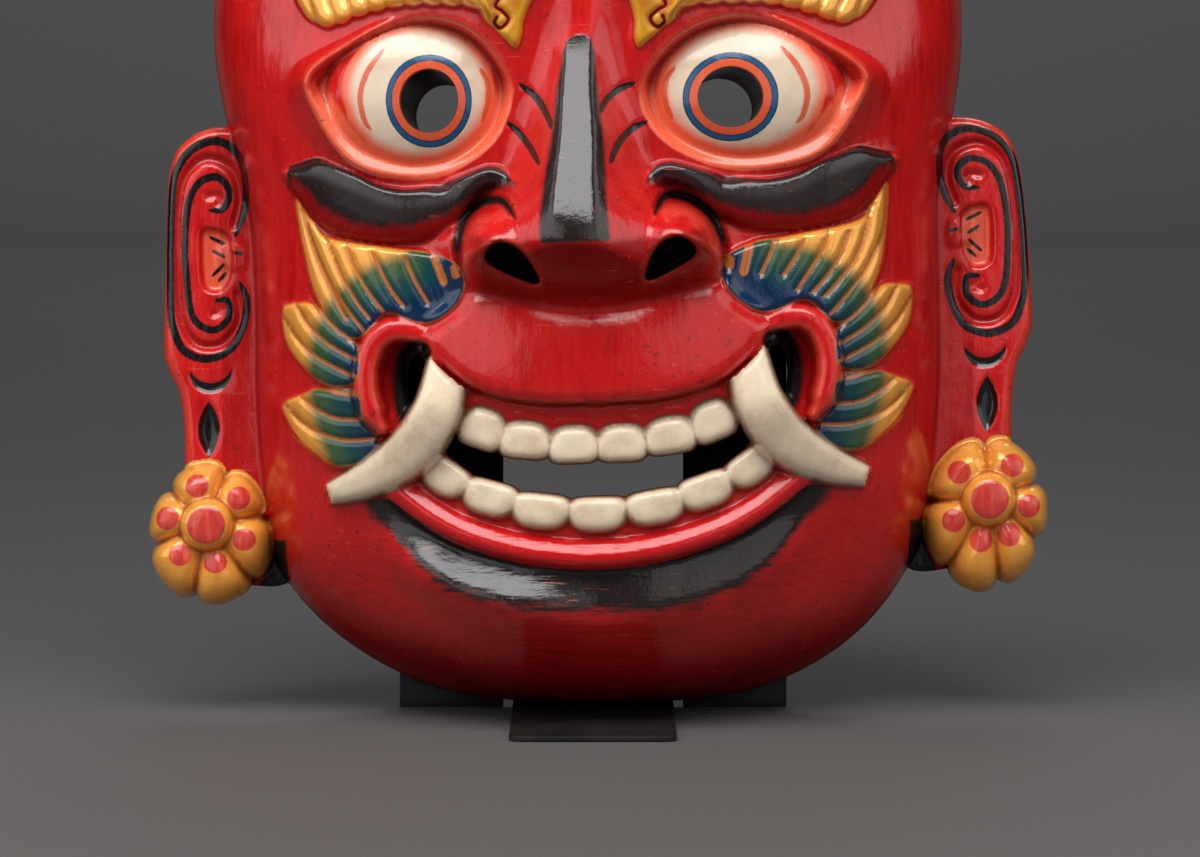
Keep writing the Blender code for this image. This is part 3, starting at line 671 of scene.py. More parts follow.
@dataclass
class Feathers(Feature):
    """Three tufts of ribbed blades round the corner of the mouth."""

    window = (55.0, 166.0, 116.0, 264.0)
    tufts: Lines = (
        Line(((147.5, 257.5), (138, 246), (129, 237.5), (97, 231), (80, 228.5), (66, 222),
              (62.5, 212), (67, 202), (78, 194), (88, 193.5), (103, 198), (119, 187), (137, 205),
              (143.5, 225)), closed=True),
        Line(((157.5, 204), (151, 206.8), (139.5, 205.5), (124, 193), (117, 183), (118, 166),
              (134, 164.5), (147, 174.5), (156, 188)), closed=True),
        Line(((157.5, 157), (147, 161.5), (137, 164), (118, 161), (114, 146), (107, 137),
              (113, 128), (129, 124), (147, 136.5), (155.5, 148)), closed=True))
    quills: Lines = lines(
        ((140, 205.5), (133.8, 197.6), (125.7, 190), (117.4, 184.3)),
        ((149, 206), (142.7, 195.2), (133, 185.4), (118.8, 176.7)),
        ((156, 200), (149.8, 190.2), (141, 180.7), (130, 173.8), (118, 168)),
        ((138, 163.8), (127.6, 160.9), (117.7, 159)),
        ((147.4, 160.4), (139.2, 153.2), (128.6, 148.3), (115.8, 147.6)),
        ((156.1, 157), (147.8, 148.1), (137.4, 141.4), (124.4, 137.5), (109, 137.7)))
    fan_left: Lines = lines(
        ((144, 252), (140.8, 238.7), (136.5, 225.2), (129.7, 208.8), (123, 196.2)),
        ((142.3, 248.5), (138.5, 234.6), (132.7, 220.2), (125.3, 205.7), (114.7, 191)),
        ((132.1, 239.9), (129.7, 230.9), (123.9, 216.4), (117.3, 204.4), (111.5, 196.8)),
        ((121.5, 232.6), (118.1, 222.2), (112.1, 210.6), (104.5, 200)),
        ((108, 229.2), (104.6, 219.3), (100.1, 210.2), (94.4, 202.2)),
        ((92, 225.7), (89.1, 217.3), (85.6, 209.8), (81.9, 203.2)))
    fan_right: Lines = lines(
        ((146.1, 256.9), (144.1, 239.1), (140.5, 226.9), (133, 213.4), (124.9, 202.8),
         (114.9, 191.8)),
        ((136.6, 241.9), (134, 231.1), (128.5, 219.4), (120.3, 208.9), (112.2, 200.3)),
        ((125.9, 232.3), (121.4, 221.6), (115.1, 212), (106.4, 202.4)),
        ((115.5, 231.7), (111.9, 222.9), (105.5, 213.3), (98.7, 203.7)),
        ((103.8, 229.1), (99.8, 221.4), (92.8, 211.3)),
        ((89.9, 228.1), (86.8, 221.3), (81.8, 212.1)))
    stubs: Lines = lines(
        ((77.4, 225.8), (75.3, 219.3), (73.6, 213.5)),
        ((67.5, 219.5), (67.1, 216.5)))
    root: Line = Line((
        (60, 214), (66, 203), (78, 195), (90, 192), (104, 192), (112, 184), (115, 172), (114, 160),
        (110, 146), (106, 134)))
    rise: float = 6.0
    blade_cut: float = 2.3
    stub_cut: float = 1.2
    hue_reach: float = 34.0  # way from the blue roots to the gold tips

    def depth(self, at: Plan) -> Array:
        """Distance into the nearest tuft."""
        return np.maximum.reduce([tuft.inside(at) for tuft in self.tufts])

    def cut(self, at: Plan) -> tuple[Array, Array]:
        """Distance to the cuts.

        Args:
            at: the places.

        Returns:
            Distance to the nearest cut between blades, and to the nearest stub.
        """
        gap = np.minimum.reduce([line.gap(at, FAR) for line in self.quills])
        for side, fan in zip(SIDES, (self.fan_left, self.fan_right)):
            for line in fan:
                here = np.where(at.x * side > 0.0, line.gap(at, FAR), FAR)
                gap = np.minimum(gap, here)
        return gap, np.minimum.reduce([line.gap(at, FAR) for line in self.stubs])

    def carve(self, p: Array, at: Plan) -> Array:
        """Raise the tufts and cut them into blades.

        Args:
            p: height so far.
            at: the places.

        Returns:
            The height after the cut.
        """
        deep = self.depth(at)
        gap, stub = self.cut(at)
        carved = p + self.rise * arc(deep / 3.2)
        carved = carved - self.blade_cut * bell(gap, 1.5) - self.stub_cut * bell(stub, 1.8)
        return np.where(deep > 0.0, carved, p)

    def paint(self, at: Plan) -> Fields:
        """Colour the blades from blue roots to gold tips.

        Args:
            at: the places.

        Returns:
            The paint fields.
        """
        deep = self.depth(at)
        gap, stub = self.cut(at)
        far = self.root.gap(at, 70.0)
        inner = smooth(at.t, 190.0, 200.0) * smooth(at.s, 125.0, 80.0)
        hue = np.clip(1.0 - (far - 4.0 - 7.0 * inner) / self.hue_reach, 0.0, 1.0)
        quill = np.maximum(0.95 - gap, np.maximum(1.0 - deep, 2.1 - stub))
        here = deep > 0.0
        return {Coat.GOLD: deep, Coat.HUE: np.where(here, hue, 0.0),
                Coat.QUILL: np.where(deep > -0.5, quill, AWAY)}


@dataclass
class MouthCorner(Feature):
    """Rolled rim round the corner of the mouth, with a funnel inside."""

    window = (66.0, 134.0, 118.0, 206.0)
    ring: Line = Line(CORNER_BEND + ((110, 149), (106, 142.5)))
    cup: Line = Line(CORNER_BEND + ((109, 147), (100, 134), (84, 150), (82, 170)), closed=True)
    hole: Line = Line((
        (84, 170), (88, 178.5), (92.5, 174.5), (94, 163), (92, 152), (88, 147)), closed=True)
    roll: float = 6.4
    height: float = 110.5
    crown: float = 4.5
    floor: float = 92.0
    reach: float = 40.0

    def carve(self, p: Array, at: Plan) -> Array:
        """Sink the funnel and roll the rim round it.

        Args:
            p: height so far.
            at: the places.

        Returns:
            The height after the cut.
        """
        cup = self.cup.inside(at)
        away = np.clip(-self.hole.inside(at, self.reach), 0.0, None)
        share = away / (away + self.ring.gap(at, self.reach) + 1e-6)
        bowl = self.floor + (self.height + 1.0 - self.floor) * share ** 1.7
        p = np.where(cup > 0.0, np.minimum(p, bowl), p)
        gap, along = self.ring.near(at, 16.0)
        roll = gap / (self.roll * (1.0 - 0.45 * smooth(along, 0.85, 1.0)))
        rim = self.height + self.crown * cap(np.minimum(roll, 1.0) ** 2)
        rim = rim - 2.0 * smooth(along, 0.85, 1.0)
        return np.maximum(p, np.where(roll < 1.0, rim, NONE))

    def paint(self, at: Plan) -> Fields:
        """Painted shade: darken the funnel towards its hole, dark red and then black."""
        cup, black_and_shade = self.cup.inside(at), smooth(self.hole.inside(at, self.reach), -11.0, -3.5)
        return {Coat.SHADE: 0.4 * smooth(cup, 6.0, 12.0), Coat.BLACK_AND_SHADE: black_and_shade * (cup > 0.0)}


@dataclass(frozen=True)
class Tooth:
    """One tooth: its middle, half width, half height and turn."""

    s: float
    t: float
    half: float
    tall: float
    turn: float = 0.0


@dataclass
class Teeth(Feature):
    """Both rows of teeth, the gums round them and the lower lip."""

    window = (0.0, 108.0, 62.0, 172.0)
    upper: tuple[Tooth, ...] = (Tooth(11.8, 131.8, 13.2, 10.0),
                                Tooth(35.4, 134.8, 13.3, 9.9, 0.12),
                                Tooth(56.4, 141.2, 11.8, 10.6, 0.36))
    lower: tuple[Tooth, ...] = (Tooth(0.0, 96.8, 15.3, 9.3),
                                Tooth(28.2, 99.3, 15.3, 9.3, 0.14),
                                Tooth(53.2, 106.4, 14.3, 9.3, 0.30),
                                Tooth(75.5, 117.6, 13.2, 9.2, 0.62))
    heights: Pair = (113.5, 110.5)
    edge: Line = Line(UPPER_LIP)
    mouth_top: Line = Line(MOUTH_TOP)
    mouth_low: Line = Line(((76, 131),) + MOUTH_LOW)
    gum_end: Line = Line(((78, 155),) + MOUTH_TOP[::-1])
    low_end: Line = Line(((96, 116), (86, 127), (78, 131)) + MOUTH_LOW)
    lip: Line = Line(((0, 77), (22, 78.5), (41.6, 82.2), (65, 90), (83, 100), (99, 112.5)))
    lip_half: float = 7.2
    gum_high: float = 120.5
    gum_low: float = 109.5
    lip_height: float = 108.0
    lip_roll: float = 8.6
    lip_crest: float = 0.1  # place of the crest across the lip
    lip_bevel: float = 0.43  # share of the roll lost on its upper edge
    bow: float = 0.0012  # how both rows fall back to the sides
    crown: float = 7.5
    gum_side: Pair = (2.6, 2.2)  # roundness of a tooth at the gum
    biting_side: Pair = (1.8, 1.7)  # what the biting edge adds to it

    def share(self, at: Plan, row: tuple[Tooth, ...]) -> Array:
        """Smallest super-ellipse value over a row of teeth.

        Args:
            at: the places.
            row: the upper or the lower teeth.

        Returns:
            The values, below 1 on a tooth.
        """
        best = np.full(at.s.shape, FAR)
        flat = 1.0 if row is self.upper else -1.0  # the biting edge's side
        for tooth in row:
            cosine, sine = math.cos(tooth.turn), math.sin(tooth.turn)
            for side in (1.0, -1.0) if tooth.s > 0.0 else (1.0,):
                x, z = side * at.s - tooth.s, at.t - tooth.t
                u = (x * cosine + z * sine) / tooth.half
                v = (z * cosine - x * sine) / tooth.tall
                biting = smooth(v * flat, 0.3, -0.3)
                over_u, over_v = (gum + more * biting for gum, more
                                  in zip(self.gum_side, self.biting_side))
                best = np.minimum(best, np.abs(u) ** over_u + np.abs(v) ** over_v)
        return best

    def tooth(self, at: Plan) -> Array:
        """Smallest super-ellipse value over both rows."""
        return np.minimum(self.share(at, self.upper), self.share(at, self.lower))

    def gums(self, at: Plan) -> tuple[Array, Array]:
        """Distance into the upper and into the lower gum."""
        return (inside_path(across(self.edge, self.gum_end), at.s, at.t, 30.0),
                inside_path(across(self.lip, self.low_end), at.s, at.t, 30.0))

    def across_lip(self, at: Plan) -> Array:
        """Place across the lower lip: -1 on its lower edge, 1 on its upper edge."""
        gap = Line(((-40.0, 82.0),) + self.lip.points).gap(at, 20.0) / self.lip_half
        return np.where(at.t > self.lip.level(at), gap, -gap)

    def carve(self, p: Array, at: Plan) -> Array:
        """Carve the gums, the lower lip and the teeth.

        Args:
            p: height so far.
            at: the places.

        Returns:
            The height after the cut.
        """
        s, t = at.s, at.t
        high, low = self.gums(at)
        edge = self.edge.level(at)
        scallop = 1.5 * bell(np.sqrt(self.share(at, self.upper)) - 1.24, 0.14)
        gum = self.gum_high - self.bow * s ** 2 - 0.42 * np.clip(edge - t, 0.0, None) + scallop
        p = np.where(high > -1.0, gum, p)
        scallop = 1.2 * bell(np.sqrt(self.share(at, self.lower)) - 1.22, 0.14)
        p = np.where(low > -1.0, self.gum_low - 0.0011 * s ** 2 + scallop, p)
        v, crest = self.across_lip(at), self.lip_crest
        above = np.sqrt(np.clip(v - crest + 0.1, 0.0, None) ** 2 + 0.01) - 0.1
        bevel = 1.0 - self.lip_bevel * above / 0.8
        face = cap((np.abs(np.minimum(v - crest, 0.0)) / (1.0 + crest)) ** 2.8)
        roll = self.lip_height - self.bow * s ** 2 + self.lip_roll * np.minimum(bevel, face)
        p = np.maximum(p, np.where(np.abs(v) < 1.0, roll, NONE))
        for row, height in zip((self.upper, self.lower), self.heights):
            share = self.share(at, row)
            crown = height - self.bow * s ** 2 + self.crown * cap(np.minimum(share, 1.0) ** 1.5)
            p = np.maximum(p, np.where(share < 1.1, crown, NONE))
        return p

    def paint(self, at: Plan) -> Fields:
        """Paint the teeth, the gums and the lower lip.

        Args:
            at: the places.

        Returns:
            The paint fields.
        """
        high, low = self.gums(at)
        v = self.across_lip(at)
        share = np.sqrt(self.tooth(at))
        # Grime and painted shade in the creases round the teeth.
        crease = bell(share - 0.99, 0.09) * smooth(at.s, 84.0, 77.0)
        return {Coat.CREAM: 9.0 * (1.0 - share),
                Coat.GUM: np.maximum(np.maximum(high, low), self.lip_half * (1.0 - np.abs(v))),
                Coat.GRIME_AND_SHADE: 0.8 * crease}


@dataclass
class Chin(Feature):
    """Soft black under the lower lip, and painted shade on the darker underside of the chin."""

    window = (0.0, 180.0, -20.0, 125.0)
    lip: Line = Line(((0, 69.8), (22, 71.3)) + UNDER_LIP)
    depth: Points = ((0, 12), (50, 16), (85, 16), (105, 9), (120, 2))  # of the full black
    under: float = 0.80

    def paint(self, at: Plan) -> Fields:
        """Lay the black under the lip and the painted shade under the chin.

        Args:
            at: the places.

        Returns:
            The paint fields.
        """
        drop = 0.86 * (self.lip.level(at) - at.t)
        low = np.interp(at.s, *np.array(self.depth, float).T)
        soft = 15.0 - 5.0 * smooth(at.s, 70.0, 110.0)
        chin = smooth(drop, -0.4, 0.4) * smooth(drop, low + soft, low - 3.0)
        chin = chin * smooth(at.s, 126.0, 104.0)
        # Painted shade: the chin darkens towards its underside.
        under = self.under * smooth(at.t - 0.0016 * at.s ** 2, 38.0, 4.0)
        return {Coat.BLACK_AND_SHADE: chin, Coat.SHADE: under}


@dataclass
class Fang(Feature):
    """Curved fang with a sawn-off tip."""

    window = (58.0, 142.0, 98.0, 190.0)
    line: Line = Line(((74, 171), (79, 150), (92, 131), (112, 118.5), (136, 110)), steps=20)
    width: Values = (11.0, 13.0, 13.0, 10.0, 5.2)
    crest: Values = (124.0, 128.0, 118.0, 102.0, 84.0)
    tip: Pair = (133.4, 110.0)
    thick: float = 11.0
    lip: Line = Line(WHOLE_UPPER_LIP)

    def share(self, at: Plan) -> tuple[Array, Array]:
        """Place across and along the fang.

        Args:
            at: the places.

        Returns:
            Distance from its line as a share of its half width, and the share along.
        """
        share, along = self.line.swell(self.width, at)
        cut = (at.s - self.tip[0]) - 0.3 * (at.t - self.tip[1])
        lip = self.lip.level(at)
        gone = (cut > 0.0) | ((at.t > lip) & (at.s < 84.0))
        return np.where(gone, FAR, share), along

    def carve(self, p: Array, at: Plan) -> Array:
        """Raise the fang over the lips.

        Args:
            p: height so far.
            at: the places.

        Returns:
            The height after the cut.
        """
        share, along = self.share(at)
        crest = along_line(self.crest, along)
        horn = crest - self.thick + self.thick * cap(np.minimum(share, 1.0) ** 3)
        return np.where(share < 0.86, horn, np.maximum(p, np.where(share < 1.0, horn, NONE)))

    def paint(self, at: Plan) -> Fields:
        """Paint the fang, with grime and painted shade at its root and tip.

        Args:
            at: the places.

        Returns:
            The paint fields.
        """
        share, along = self.share(at)
        root = smooth(along, 0.3, 0.0) * smooth(share, 0.5, 1.0)
        return {Coat.CREAM: np.where(share < FAR, 12.0 * (1.0 - share), AWAY),
                Coat.GRIME_AND_SHADE: np.where(share < 1.2, 0.7 * root + 0.35 * smooth(along, 0.93, 1.0), 0.0)}


@dataclass
class Nose(Feature):
    """Flat-topped ridge, two wings and the slanting underside with its nostrils."""

    window = (0.0, 84.0, 188.0, 362.0)
    tip: Pair = (173.5, 229.0)
    slope: float = 0.43
    wing: Oval = Oval(42.0, 224.0, 23.0, 25.0)
    wing_edge: float = 112.0
    wing_bulge: float = 44.0
    base: float = 136.0  # underside at its lowest
    base_slope: float = 1.38
    nostril_depth: float = 16.0
    hook_depth: float = 5.0
    crease_depth: float = 1.1
    nostril: Line = Line((
        (50.5, 222), (47, 229), (39, 229.5), (31, 223), (26, 211), (36, 213.5)), closed=True)
    hook: Line = Line((
        (63, 212), (65.5, 226), (62, 240), (56, 248), (48, 252), (39.5, 251), (34, 242)))
    hook_width: Values = (0.5, 2, 3, 3.2, 3.2, 2.6, 0.8)
    stripe: Points = ((228, 17.5), (259, 15.5), (278, 13.3), (297, 11), (316, 8.8), (330, 7.5))
    creases: Lines = lines(
        ((-27.8, 308), (-20.4, 302.3), (-16.1, 296.8), (-12.7, 289.4), (-11.5, 284)),
        ((-34.2, 289.8), (-28.3, 284.4), (-22.8, 276.6), (-18.7, 266.9)),
        ((29.6, 307.9), (21.6, 304.6), (15.4, 298.5), (12.6, 291.5)),
        ((35.3, 289.1), (26.6, 284.4), (19.9, 276.1), (15.6, 266.4)),
        one_side=True)

    def beside(self, at: Plan) -> Array:
        """Distance from the ridge's middle, which drifts to one side at the tip."""
        return np.abs(at.x - 1.3 + 7.2 * smooth(at.t, 290.0, 228.0))

    def crease(self, at: Plan) -> Array:
        """Distance into the thin strokes beside the ridge.

        Args:
            at: the places.

        Returns:
            The distance, positive in a stroke.
        """
        best = np.full(at.x.shape, AWAY)
        for line in self.creases:
            gap, along = line.near(at)
            best = np.maximum(best, 1.7 * cap((2.0 * along - 1.0) ** 4) - gap)
        return best

    def carve(self, p: Array, at: Plan) -> Array:
        """Raise the ridge and wings, and cut the nostrils, hooks and creases.

        Args:
            p: height so far.
            at: the places.

        Returns:
            The height after the cut.
        """
        s, t = at.s, at.t
        ridge = self.tip[0] - self.slope * (t - self.tip[1]) - 6.0 * np.clip(t - 352.0, 0.0, None)
        ridge = ridge - 0.012 * np.clip(246.0 - t, 0.0, None) ** 2
        out = np.clip(self.beside(at) - 5.0 - 4.2 * smooth(t, 330.0, 235.0), 0.0, None)
        fall = 1.9 - 0.95 * smooth(t, 275.0, 232.0) - 0.5 * smooth(t, 300.0, 345.0)
        body = ridge - 0.010 * np.minimum(self.beside(at), 14.0) ** 2
        body = body - fall * (np.sqrt(out ** 2 + 16.0) - 4.0)
        body = soft_max(body, self.wing.dome(at, self.wing_edge, self.wing_bulge), 8.0)
        round_s = np.sqrt(s ** 2 + 400.0) - 20.0
        under = self.base - 0.33 * round_s + (t - 203.0 - 0.0018 * s ** 2) * self.base_slope
        fillet = 5.0 + 11.0 * smooth(t, 258.0, 290.0)
        p = np.where(t > 194.0, soft_max(p, soft_min(body, under, 3.4), fillet), p)
        deep = self.nostril.inside(at)
        p = np.where(deep > 0.0, p - self.nostril_depth * arc(deep / 3.0), p)
        hook, _ = self.hook.swell(self.hook_width, at, 8.0)
        p = p - self.hook_depth * np.clip(1.0 - hook ** 2, 0.0, 1.0)
        return p - self.crease_depth * smooth(self.crease(at), -0.9, 0.9)

    def paint(self, at: Plan) -> Fields:
        """Paint the ridge, nostrils, hooks and creases black.

        Args:
            at: the places.

        Returns:
            The paint fields.
        """
        s, t = at.s, at.t
        half = np.interp(t, *np.array(self.stripe).T)
        stripe = smooth(self.beside(at), half + 2.5, half - 3.0)
        stripe = stripe * smooth(t, 227.0, 230.5)
        end = np.hypot(self.beside(at), np.clip(t - 323.0, 0.0, None))
        stripe = stripe * np.where(t > 323.0, smooth(end, 10.0, 6.0), 1.0)
        hook, along = self.hook.swell(self.hook_width, at, 8.0)
        nostril = self.nostril.inside(at)
        # Painted shade: the underside of the nose is darker red.
        under = smooth(t - 0.0018 * s ** 2, 231.0, 226.5) * smooth(s, 62.0, 52.0)
        under = under * smooth(t, 196.0, 204.0)
        groove = smooth(hook, 1.15, 0.35) * smooth(along, 0.12, 0.3)
        return {Coat.BLACK_AND_SHADE: np.maximum(stripe, 0.85 * groove),
                Coat.INK: np.maximum(self.crease(at), nostril + 0.4),
                Coat.SHADE: np.maximum(under * 0.6, 0.5 * smooth(hook, 2.2, 1.0))}


@dataclass
class Ornament(Feature):
    """Yellow scrolls over the root of the nose, with a flame on the forehead."""

    window = (0.0, 62.0, 318.0, 404.0)
    scroll: Line = Line((
        (30, 324.8), (34.6, 328.3), (40, 333.4), (45, 337.4), (49.5, 344), (50.5, 352), (46, 359),
        (37, 361), (27, 365), (16, 371), (8, 372), (8, 362), (17, 355.5), (23.5, 348), (27, 338),
        (27.6, 330)), closed=True)
    hook: Line = Line((
        (38.5, 351), (41.5, 345.5), (38, 342.8), (34.6, 338.8), (38, 334.6), (41.4, 337),
        (40.4, 340)))
    sweep: Line = Line(((46, 352), (38, 356), (27, 358), (17, 364)))
    rise: float = 4.2
    line_cut: float = 2.4
    flame_low: float = 362.0
    flame_high: float = 398.0
    flame_half: float = 10.5

    def flame(self, at: Plan) -> Array:
        """Distance into the flame on the forehead.

        Args:
            at: the places.

        Returns:
            The distance, positive in the flame.
        """
        low, high = self.flame_low, self.flame_high
        up = np.clip((at.t - low) / (high - low), 0.0, 1.0)
        wide = self.flame_half * np.sin(up ** 0.8 * math.pi)
        return np.where((at.t > low) & (at.t < high), wide - at.s, AWAY)

    def carve(self, p: Array, at: Plan) -> Array:
        """Raise the scrolls and the flame, and cut their lines.

        Args:
            p: height so far.
            at: the places.

        Returns:
            The height after the cut.
        """
        scroll = self.scroll.inside(at)
        p = np.where(scroll > 0.0, p + self.rise * arc(scroll / 1.8), p)
        cut = np.minimum(self.hook.gap(at), self.sweep.gap(at))
        p = np.where(scroll > 0.0, p - self.line_cut * bell(cut, 1.3), p)
        flame = self.flame(at)
        ring = np.abs(np.mod(flame / 5.0, 1.0) - 0.5)
        return np.where(flame > 0.0, p + 5.0 * arc(flame / 4.0) - 1.5 * (ring > 0.4), p)

    def paint(self, at: Plan) -> Fields:
        """Paint the scrolls and the flame yellow.

        Args:
            at: the places.

        Returns:
            The paint fields.
        """
        hook = self.hook.gap(at)
        scroll = np.minimum(self.scroll.inside(at), hook - 0.9)
        return {Coat.CURL: np.maximum(scroll, self.flame(at)), Coat.SHADE: smooth(hook, 2.0, 0.8)}


@dataclass
class Ear(Feature):
    """Flat ear board: a carved channel, a curled band, a sunk panel and painted lines."""

    window = (138.0, 232.0, 40.0, 306.0)
    outline: Line = Line((
        (160, 285), (176, 293), (190, 295), (203, 291), (213, 281), (217.5, 258), (220.5, 192),
        (218, 176), (212.5, 163), (210, 140), (209, 95), (200, 76), (186, 66), (172, 62.5),
        (158, 64), (145, 78), (145, 270)), closed=True)
    channel: Line = Line((
        (182.9, 247.7), (179.3, 261.8), (183.4, 275.4), (196.2, 280.3), (206.9, 271.6),
        (210.7, 257.6), (212, 242.9), (212.3, 228.3), (212, 213.7), (210, 199.3), (202.5, 188.6),
        (189.8, 188.6), (181.6, 199.8), (182.5, 214)))
    outer_line: Line = Line((
        (182.7, 241.8), (177.3, 254.1), (175.5, 267.4), (178, 280.3), (187.9, 287.9),
        (200.7, 285.6), (210, 276.6), (213.9, 264), (216, 237.1), (216.3, 210.4), (214.9, 197.2),
        (209.5, 185.4), (197.5, 180.9), (185.7, 185.7), (179.4, 197.2), (177.5, 210.2),
        (181.5, 220)))
    inner_line: Line = Line((
        (195.7, 255.6), (187.7, 256.6), (184.4, 264.8), (189.8, 271.4), (198.6, 269.8),
        (204.4, 262.7), (206.9, 253.5), (208.4, 239), (208.2, 225.3), (206.4, 206.7),
        (202.2, 198.7), (194, 195.5), (187.1, 201), (187.1, 209.8), (194.3, 210.4)))
    panel: Line = Line((
        (186, 243), (192, 246.5), (199.3, 246), (200.8, 232), (199.3, 217.5), (192, 214.5),
        (186, 220), (184.2, 232)), closed=True)
    tragus: Line = Line(((186, 232.5), (181, 232), (173, 232)))
    curls: Lines = lines(
        ((195.5, 262.5), (190.5, 263), (190, 259)),
        ((194.5, 203.5), (191, 205), (192.5, 208)))
    ticks: Lines = lines(
        ((196.3, 243), (187.5, 238.4)),
        ((195, 236), (188, 231.8)),
        ((188.5, 229), (195.5, 222.5)),
        ((187.5, 224.6), (192.5, 219.8)),
        ((184, 234.2), (178.5, 233.4)))
    # crescent: middle and radius, then height and radius of what is taken out of it
    crescent: tuple[float, float, float, float, float] = (196.0, 174.2, 10.7, 179.6, 11.1)
    leaf: tuple[float, float, float, float] = (197.0, 145.2, 14.3, 5.5)  # middle, half sizes
    board: float = 20.0
    rounding: float = 8.0
    lobe: float = 12.0
    channel_cut: float = 3.0
    panel_cut: float = 3.6
    curl_cut: float = 2.4

    def stamps(self, at: Plan) -> tuple[Array, Array]:
        """Distance into the two stamped shapes.

        Args:
            at: the places.

        Returns:
            Distance into the crescent and into the leaf.
        """
        s0, t0, r0, t1, r1 = self.crescent
        moon = np.minimum(r0 - np.hypot(at.s - s0, at.t - t0), np.hypot(at.s - s0, at.t - t1) - r1)
        s2, t2, tall, wide = self.leaf
        bow = wide * (1.0 - ((at.t - t2) / tall) ** 2)
        return moon, 0.8 * (bow - np.abs(at.s - s2))

    def carve(self, p: Array, at: Plan) -> Array:
        """Add the board and cut its channel, panel, curls and stamps.

        Args:
            p: height so far.
            at: the places.

        Returns:
            The height after the cut.
        """
        s, t = at.s, at.t
        deep = self.outline.inside(at)
        plate = np.where(t > 100.0, self.board + self.rounding * arc(deep / 4.5), self.lobe)
        channel = self.channel.gap(at)
        wide = 1.7 + 0.6 * smooth(np.abs(t - 234.0), 34.0, 44.0)
        plate = plate - self.channel_cut * smooth(channel, wide + 0.7, wide - 1.3)
        plate = plate - self.panel_cut * smooth(self.panel.inside(at), -0.6, 1.6)
        plate = plate + 1.4 * smooth(self.tragus.gap(at), 7.5, 4.5) * smooth(s, 177.0, 184.0)
        for curl in self.curls:
            plate = plate - self.curl_cut * bell(curl.gap(at), 1.6)
        moon, leaf = self.stamps(at)
        plate = plate - 1.6 * smooth(moon, -0.5, 1.0) - 2.6 * smooth(leaf, -0.4, 2.0)
        return np.maximum(p, np.where(deep > -1.0, plate, NONE))

    def paint(self, at: Plan) -> Fields:
        """Paint the lines, the stamps and the panel, with painted shade in the channel.

        Args:
            at: the places.

        Returns:
            The paint fields.
        """
        s, t = at.s, at.t
        outer, outer_at = self.outer_line.near(at)
        inner, inner_at = self.inner_line.near(at)
        ink = np.maximum(2.05 * cap((2.0 * outer_at - 1.0) ** 16) - outer,
                         1.85 * cap((2.0 * inner_at - 1.0) ** 16) - inner)
        for tick in self.ticks:
            gap, along = tick.near(at)
            ink = np.maximum(ink, 0.95 * cap((2.0 * along - 1.0) ** 4) - gap)
        moon, leaf = self.stamps(at)
        beyond = 12.0 * (FLOWER.reach(at) - 1.04)
        board = np.minimum(beyond, np.minimum(88.0 - t, s - 157.0) * 0.5)
        ink = np.maximum(np.maximum(ink, board), np.maximum(moon, leaf))
        # Painted shade: darker red in the carved channel.
        channel = self.channel.gap(at)
        panel = self.panel.inside(at)
        return {Coat.INK: ink, Coat.SHADE: 0.3 * smooth(channel, 2.6, 1.0),
                Coat.CORAL: 0.62 * smooth(panel, 0.2, 1.6)}


